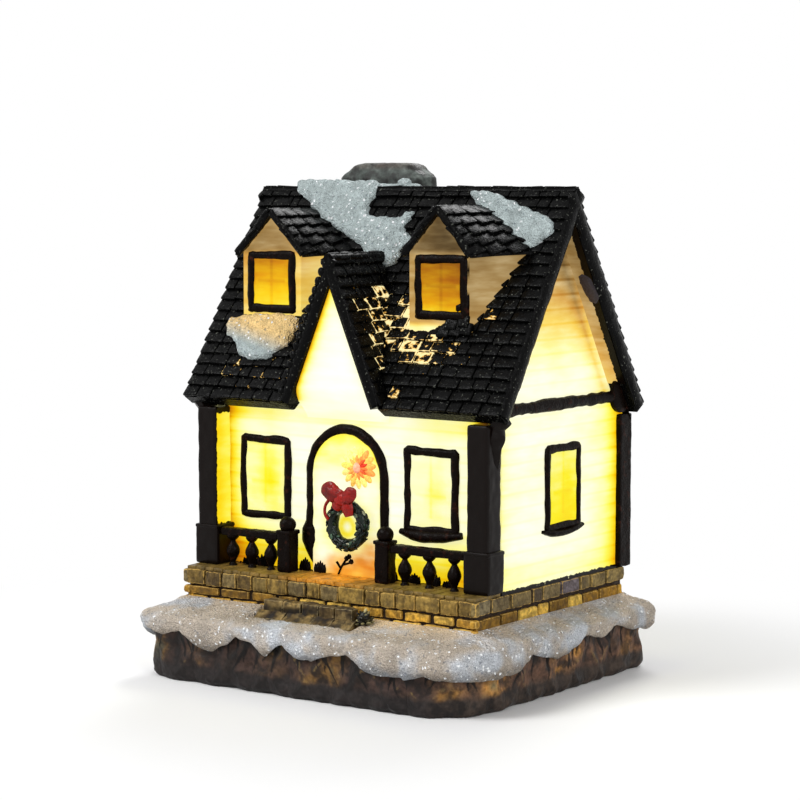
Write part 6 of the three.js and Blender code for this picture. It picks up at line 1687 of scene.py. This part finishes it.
class HOUSE_OT_roof_snow(Piece):
    """The patches of glittering snow on the roof, and the drift over the ridge"""

    bl_idname = "house.roof_snow"
    bl_label = "Roof snow"

    def execute(self, context):
        snow_patch("roof_snow_centre", [
            (-21.2, 0.4), (-20.4, -2.2), (-14, -2.6), (-9, -2.2), (-6.4, -1.0), (-6.2, 1.4), (-6.6, 3.4), (-5.4, 5.2),
            (-1.0, 5.2), (2.0, 4.4), (1.2, 7.2), (3.4, 9.0), (2.9, 11.0), (1.2, 13.6), (-1.2, 13.9), (-2.8, 13.0),
            (-5, 10.8), (-8, 9.0), (-11, 7.6), (-13.4, 6.6), (-16, 4.6), (-18.4, 2.6),
        ])
        snow_patch("roof_snow_right", [
            (10.3, 1.4), (14.3, 1.1), (17, 2.2), (19.6, 3.2), (25.6, 5.6), (26.1, 7.6), (24.6, 9.6), (22, 10.1),
            (18.4, 7.8), (14, 5.4), (12.6, 3.6),
        ])
        snow_patch("roof_snow_left", [
            (-22.6, 22.6), (-12.2, 22.2), (-11.3, 25.6), (-13.6, 28.6), (-16.6, 29.8), (-19.6, 29.2), (-21.4, 27.2),
            (-24, 25.2),
        ], lambda x, down: 0.9 * fade(down - 0.25 * (x + 17), 28.2, 24.6))
        # The drift behind the ridge: an arched section that thins out at both ends
        x, angle, cool = np.linspace(-24.5, 1.5, 120), around(30), np.array(colours().snow_cool[:3])
        swell = np.sin(np.pi * np.linspace(0.03, 0.97, 120)) ** 0.5
        line = xyz(x, 0, 0)
        wide = (1.5 + 0.4 * grain(line, 1.6)) * swell
        high = (1.0 + 0.3 * grain(line + 5, 1.1) + 0.35 * bell(x + 15, 5)) * swell
        y = RIDGE_Y + 1.2 + wide[:, None] * np.cos(angle)
        z = RIDGE_Z - 0.55 + high[:, None] * np.maximum(np.sin(angle), -0.7)
        drift = roughened(tube(xyz(x[:, None], y, z), tint=cool), 0.18, 0.9)
        spots, halves = [(-2.3, 4.7, 70.7), (-0.6, 4.6, 70.3)], [(1.1, 0.7, 0.9), (1.6, 0.6, 0.5)]
        clump = balls(spots, halves, (10, 10, 10), tint=cool)
        parts = [drift, roughened(clump, 0.2, 0.8)]
        make_piece("ridge_drift", parts, snow_finish(), ["ridge_snow"], smooth=70)
        return {"FINISHED"}


class HOUSE_OT_plants(Piece):
    """Painted plants: tufts at the wall's foot, a thin twig by the door and the bush by the steps"""

    bl_idname = "house.plants"
    bl_label = "Painted plants"

    def execute(self, context):
        rng = np.random.default_rng(33)
        n = 70
        spread = unit(rng.normal(size=(n, 3)))
        spread[:, 2] = np.abs(spread[:, 2])
        middle = np.array([8.5, -19.8, 10.6])
        spot = middle + spread * [1.05, 0.95, 2.0] * rng.uniform(0.6, 1.0, (n, 1))
        side = unit(np.cross(spread, [0, 0, 1.0]) + 1e-6)
        axes = np.stack([spread, side, unit(np.cross(side, spread))], 1)
        tint = ramp(rng.uniform(0, 1, n), [(0, "#0c0a08"), (0.55, "#1c1a12"), (0.7, "#5c5638"), (1, "#c8bc88")])
        leaves = balls(spot, (0.5, 0.28, 0.16), (4, 4, 4), axes, tint)
        core = roughened(balls(middle + [0, 0, 0.9], (0.85, 0.75, 1.1), (10, 10, 10), tint=tone("#10140f")), 0.2, 0.8)
        make_piece("bush_leaves", [core, leaves], leaf_finish(), ["shrub"])
        # On the door they stand off its lit panel
        door, tufts = upright(0, FRONT[0][1] - 0.34), []
        dab = lambda path, *size, **more: tufts.append(stroke(door, path, *size, step=0.2, **more))
        lean = np.linspace(-0.7, 0.7, 5)
        # Middle, width and height of each tuft of five blades
        for x, wide, tall in (
            (-18.2, 1.7, 1.2), (-15.4, 1.9, 1.9), (-8.0, 1.1, 1.9), (-5.3, 1.2, 1.7), (7.4, 0.9, 1.7), (11.2, 1.2, 1.4),
            (14.4, 1.4, 1.8), (17.0, 1.2, 1.0),
        ):
            for k, tip in enumerate(lean):
                blade = [(x + tip * wide * 0.6, 15.4), (x + tip * wide, 15.5 + tall * (1 - 0.4 * abs(tip)))]
                dab(blade, 0.9, 0.4, seed=x + k, ends=[1.2, 1, 0.15], wobble=0.05)
        twigs = [(-2.0, 15.6), (-1.5, 16.6), (-0.6, 17.8)], [(-1.3, 16.9), (0.2, 17.4)], [(-1.6, 16.4), (-2.3, 17.3)]
        for twig in twigs:
            dab(twig, 0.3, 0.35, seed=9, wobble=0.04)
        for x, z in ((-0.55, 17.9), (0.25, 17.5), (-0.1, 18.2)):
            dab([(x, z - 0.35), (x + 0.1, z + 0.35)], 0.9, 0.5, seed=x, ends=[0.5, 1, 0.5])
        make_piece("painted_tufts", tufts, trim_finish(), smooth=60)
        return {"FINISHED"}


class HOUSE_OT_light_unit(Piece):
    """Finishes for the battery light, whose solids stay as they are"""

    bl_idname = "house.light_unit"
    bl_label = "Battery light"

    def execute(self, context):
        white = made("abs_white_moulded", moulded, "#e8e6e0", 0.42, 0.3, depth=0.02, IOR=1.54)
        steel = made("steel_nickel_plated", moulded, "#b9b7b2", 0.28, 0.5, depth=0.015, Metallic=1.0)
        board = made("fibreglass_laminate_green", moulded, "#1f6b3a", 0.4, 0.35, IOR=1.55)
        black = made("abs_black_moulded", moulded, "#141414", 0.45, 0.3, IOR=1.54)
        red = made("pvc_insulation_red", moulded, "#a01818", 0.38, 0.4, IOR=1.53)
        glow = {"Emission Color": linear("#ffe9a0"), "Emission Strength": 1.0, "Coat Weight": 0.5}
        lamp = made("epoxy_lamp_clear", moulded, "#fff4c8", 0.12, 0.6, depth=0.01, spread=0.06, IOR=1.54, **glow)
        finishes = {
            "unit_housing unit_cover battery_door": white,
            "unit_screw_left unit_screw_right door_screw button_cell_1 button_cell_2 button_cell_3": steel,
            "contact_positive contact_negative": steel, "circuit_board": board, "led": lamp,
            "switch_body switch_knob wire_black": black, "wire_red": red,
        }
        for names, finish in finishes.items():
            for name in names.split():
                materials = bpy.data.objects[name].data.materials
                materials.clear()
                materials.append(finish)
        return {"FINISHED"}


def direction(aim):
    """Turn of a lamp that shines along a direction: tilt from straight down, then heading."""
    flat = math.hypot(aim[0], aim[1])
    return (math.atan2(flat, -aim[2]), 0.0, math.atan2(aim[1], aim[0]) - math.pi / 2)


class HOUSE_OT_stage(Piece):
    """Pale floor, soft lamps, white background and the camera at the photograph's angle"""

    bl_idname = "house.stage"
    bl_label = "Stage"

    def execute(self, context):
        scene = context.scene
        # What the camera sees, straight, in a reflection or through something clear
        seen = [
            ("path", "LightPath", {}, {}),
            ("eye", "Math", {"operation": "MAXIMUM"}, {0: "path.Is Camera Ray", 1: "path.Is Glossy Ray"}),
            ("seen", "Math", {"operation": "MAXIMUM"}, {0: "eye", 1: "path.Is Transmission Ray"}),
        ]
        # Matt paper. Beyond the object it fades to plain white, so that no edge shows behind it
        paper = new_finish("paper_backdrop", [
            *seen, ("far", "VectorMath", {"operation": "LENGTH"}, {0: "place.Object"}),
            ("fade", "MapRange", {**span(0.04, 0.1), **SMOOTH}, {"Value": "far.Value"}),
            ("share", "Math", {"operation": "MULTIPLY"}, {0: "fade", 1: "seen"}),
            ("paper", "BsdfPrincipled", {"Base Color": linear("#f4f4f4"), "Roughness": 0.9}, {}),
            ("white", "Emission", {"Strength": 1.0}, {}),
            ("shader", "MixShader", {}, {0: "share", 1: "paper", 2: "white"}),
            ("end", "OutputMaterial", {}, {"Surface": "shader"}),
        ])
        x, y = np.meshgrid(*[np.linspace(-1.5, 1.5, 7)] * 2, indexing="ij")
        mesh = bpy.data.meshes.new("floor_sheet")
        mesh.from_pydata(xyz(x, y, -0.00002).reshape(-1, 3).tolist(), [], grid_faces(7, 7)[:, ::-1].tolist())
        mesh.materials.append(paper)
        mesh.update()
        floor = bpy.data.objects.new("floor_sheet", mesh)
        scene.collection.objects.link(floor)
        # A soft room, white where it is seen
        scene.world = bpy.data.worlds.new("soft_room")
        scene.world.use_nodes = True
        fill_tree(scene.world.node_tree, [
            *seen, ("level", "MapRange", span(0.0, 1.0, 0.33, 1.0), {"Value": "seen"}),
            ("sky", "Background", {"Color": (1, 1, 1, 1)}, {"Strength": "level"}),
            ("end", "OutputWorld", {}, {"Surface": "sky"}),
        ])
        for name, spot, size, watts in (
            ("key_lamp", (-0.22, -0.38, 0.42), 0.26, 2.4), ("fill_lamp", (0.42, -0.2, 0.24), 0.3, 1.0),
            ("rim_lamp", (-0.1, 0.36, 0.4), 0.25, 1.3),
        ):
            data = bpy.data.lights.new(name, "AREA")
            data.shape, data.size, data.energy = "DISK", size, watts
            lamp = bpy.data.objects.new(name, data)
            lamp.location = spot
            lamp.rotation_euler = direction(np.array([0, 0, 0.035]) - np.array(spot))
            scene.collection.objects.link(lamp)
        data = bpy.data.cameras.new("photo_camera")
        data.sensor_width, data.lens = 36.0, 108.8
        data.clip_start, data.clip_end = 0.01, 10.0
        camera = bpy.data.objects.new("photo_camera", data)
        azimuth, elevation = math.radians(35.64), math.radians(5.12)
        camera.location = (0.2031, -0.2829, 0.0708)
        camera.rotation_euler = (math.pi / 2 - elevation, 0, azimuth)
        scene.collection.objects.link(camera)
        scene.camera = camera
        scene.view_settings.view_transform = "Standard"
        return {"FINISHED"}


PIECES = [
    HOUSE_OT_rock_base, HOUSE_OT_base_snow, HOUSE_OT_brick_plinth, HOUSE_OT_porch_floor, HOUSE_OT_front_steps,
    HOUSE_OT_house_walls, HOUSE_OT_main_roof, HOUSE_OT_front_gable, HOUSE_OT_dormers, HOUSE_OT_chimney,
    HOUSE_OT_posts, HOUSE_OT_windows, HOUSE_OT_front_door, HOUSE_OT_wreath, HOUSE_OT_railings, HOUSE_OT_roof_snow,
    HOUSE_OT_plants, HOUSE_OT_light_unit, HOUSE_OT_stage,
]


class HOUSE_PT_panel(bpy.types.Panel):
    """Sizes, colours and pieces of the house"""

    bl_idname = "HOUSE_PT_panel"
    bl_label = "House night light"
    bl_space_type = "VIEW_3D"
    bl_region_type = "UI"
    bl_category = "Night light"

    def draw(self, context):
        for group in (context.scene.house_sizes, context.scene.house_colours):
            frame_ = self.layout.box()
            for name in group.__annotations__:
                frame_.prop(group, name)
        for piece in PIECES:
            self.layout.operator(piece.bl_idname)


CLASSES = [HouseSizes, HouseColours, *PIECES, HOUSE_PT_panel]


def register():
    for item in CLASSES:
        bpy.utils.register_class(item)
    bpy.types.Scene.house_sizes = bpy.props.PointerProperty(type=HouseSizes)
    bpy.types.Scene.house_colours = bpy.props.PointerProperty(type=HouseColours)


def unregister():
    del bpy.types.Scene.house_colours
    del bpy.types.Scene.house_sizes
    for item in reversed(CLASSES):
        bpy.utils.unregister_class(item)


def main():
    register()
    for piece in PIECES:
        group, name = piece.bl_idname.split(".")
        getattr(getattr(bpy.ops, group), name)()


if __name__ == "__main__":
    main()
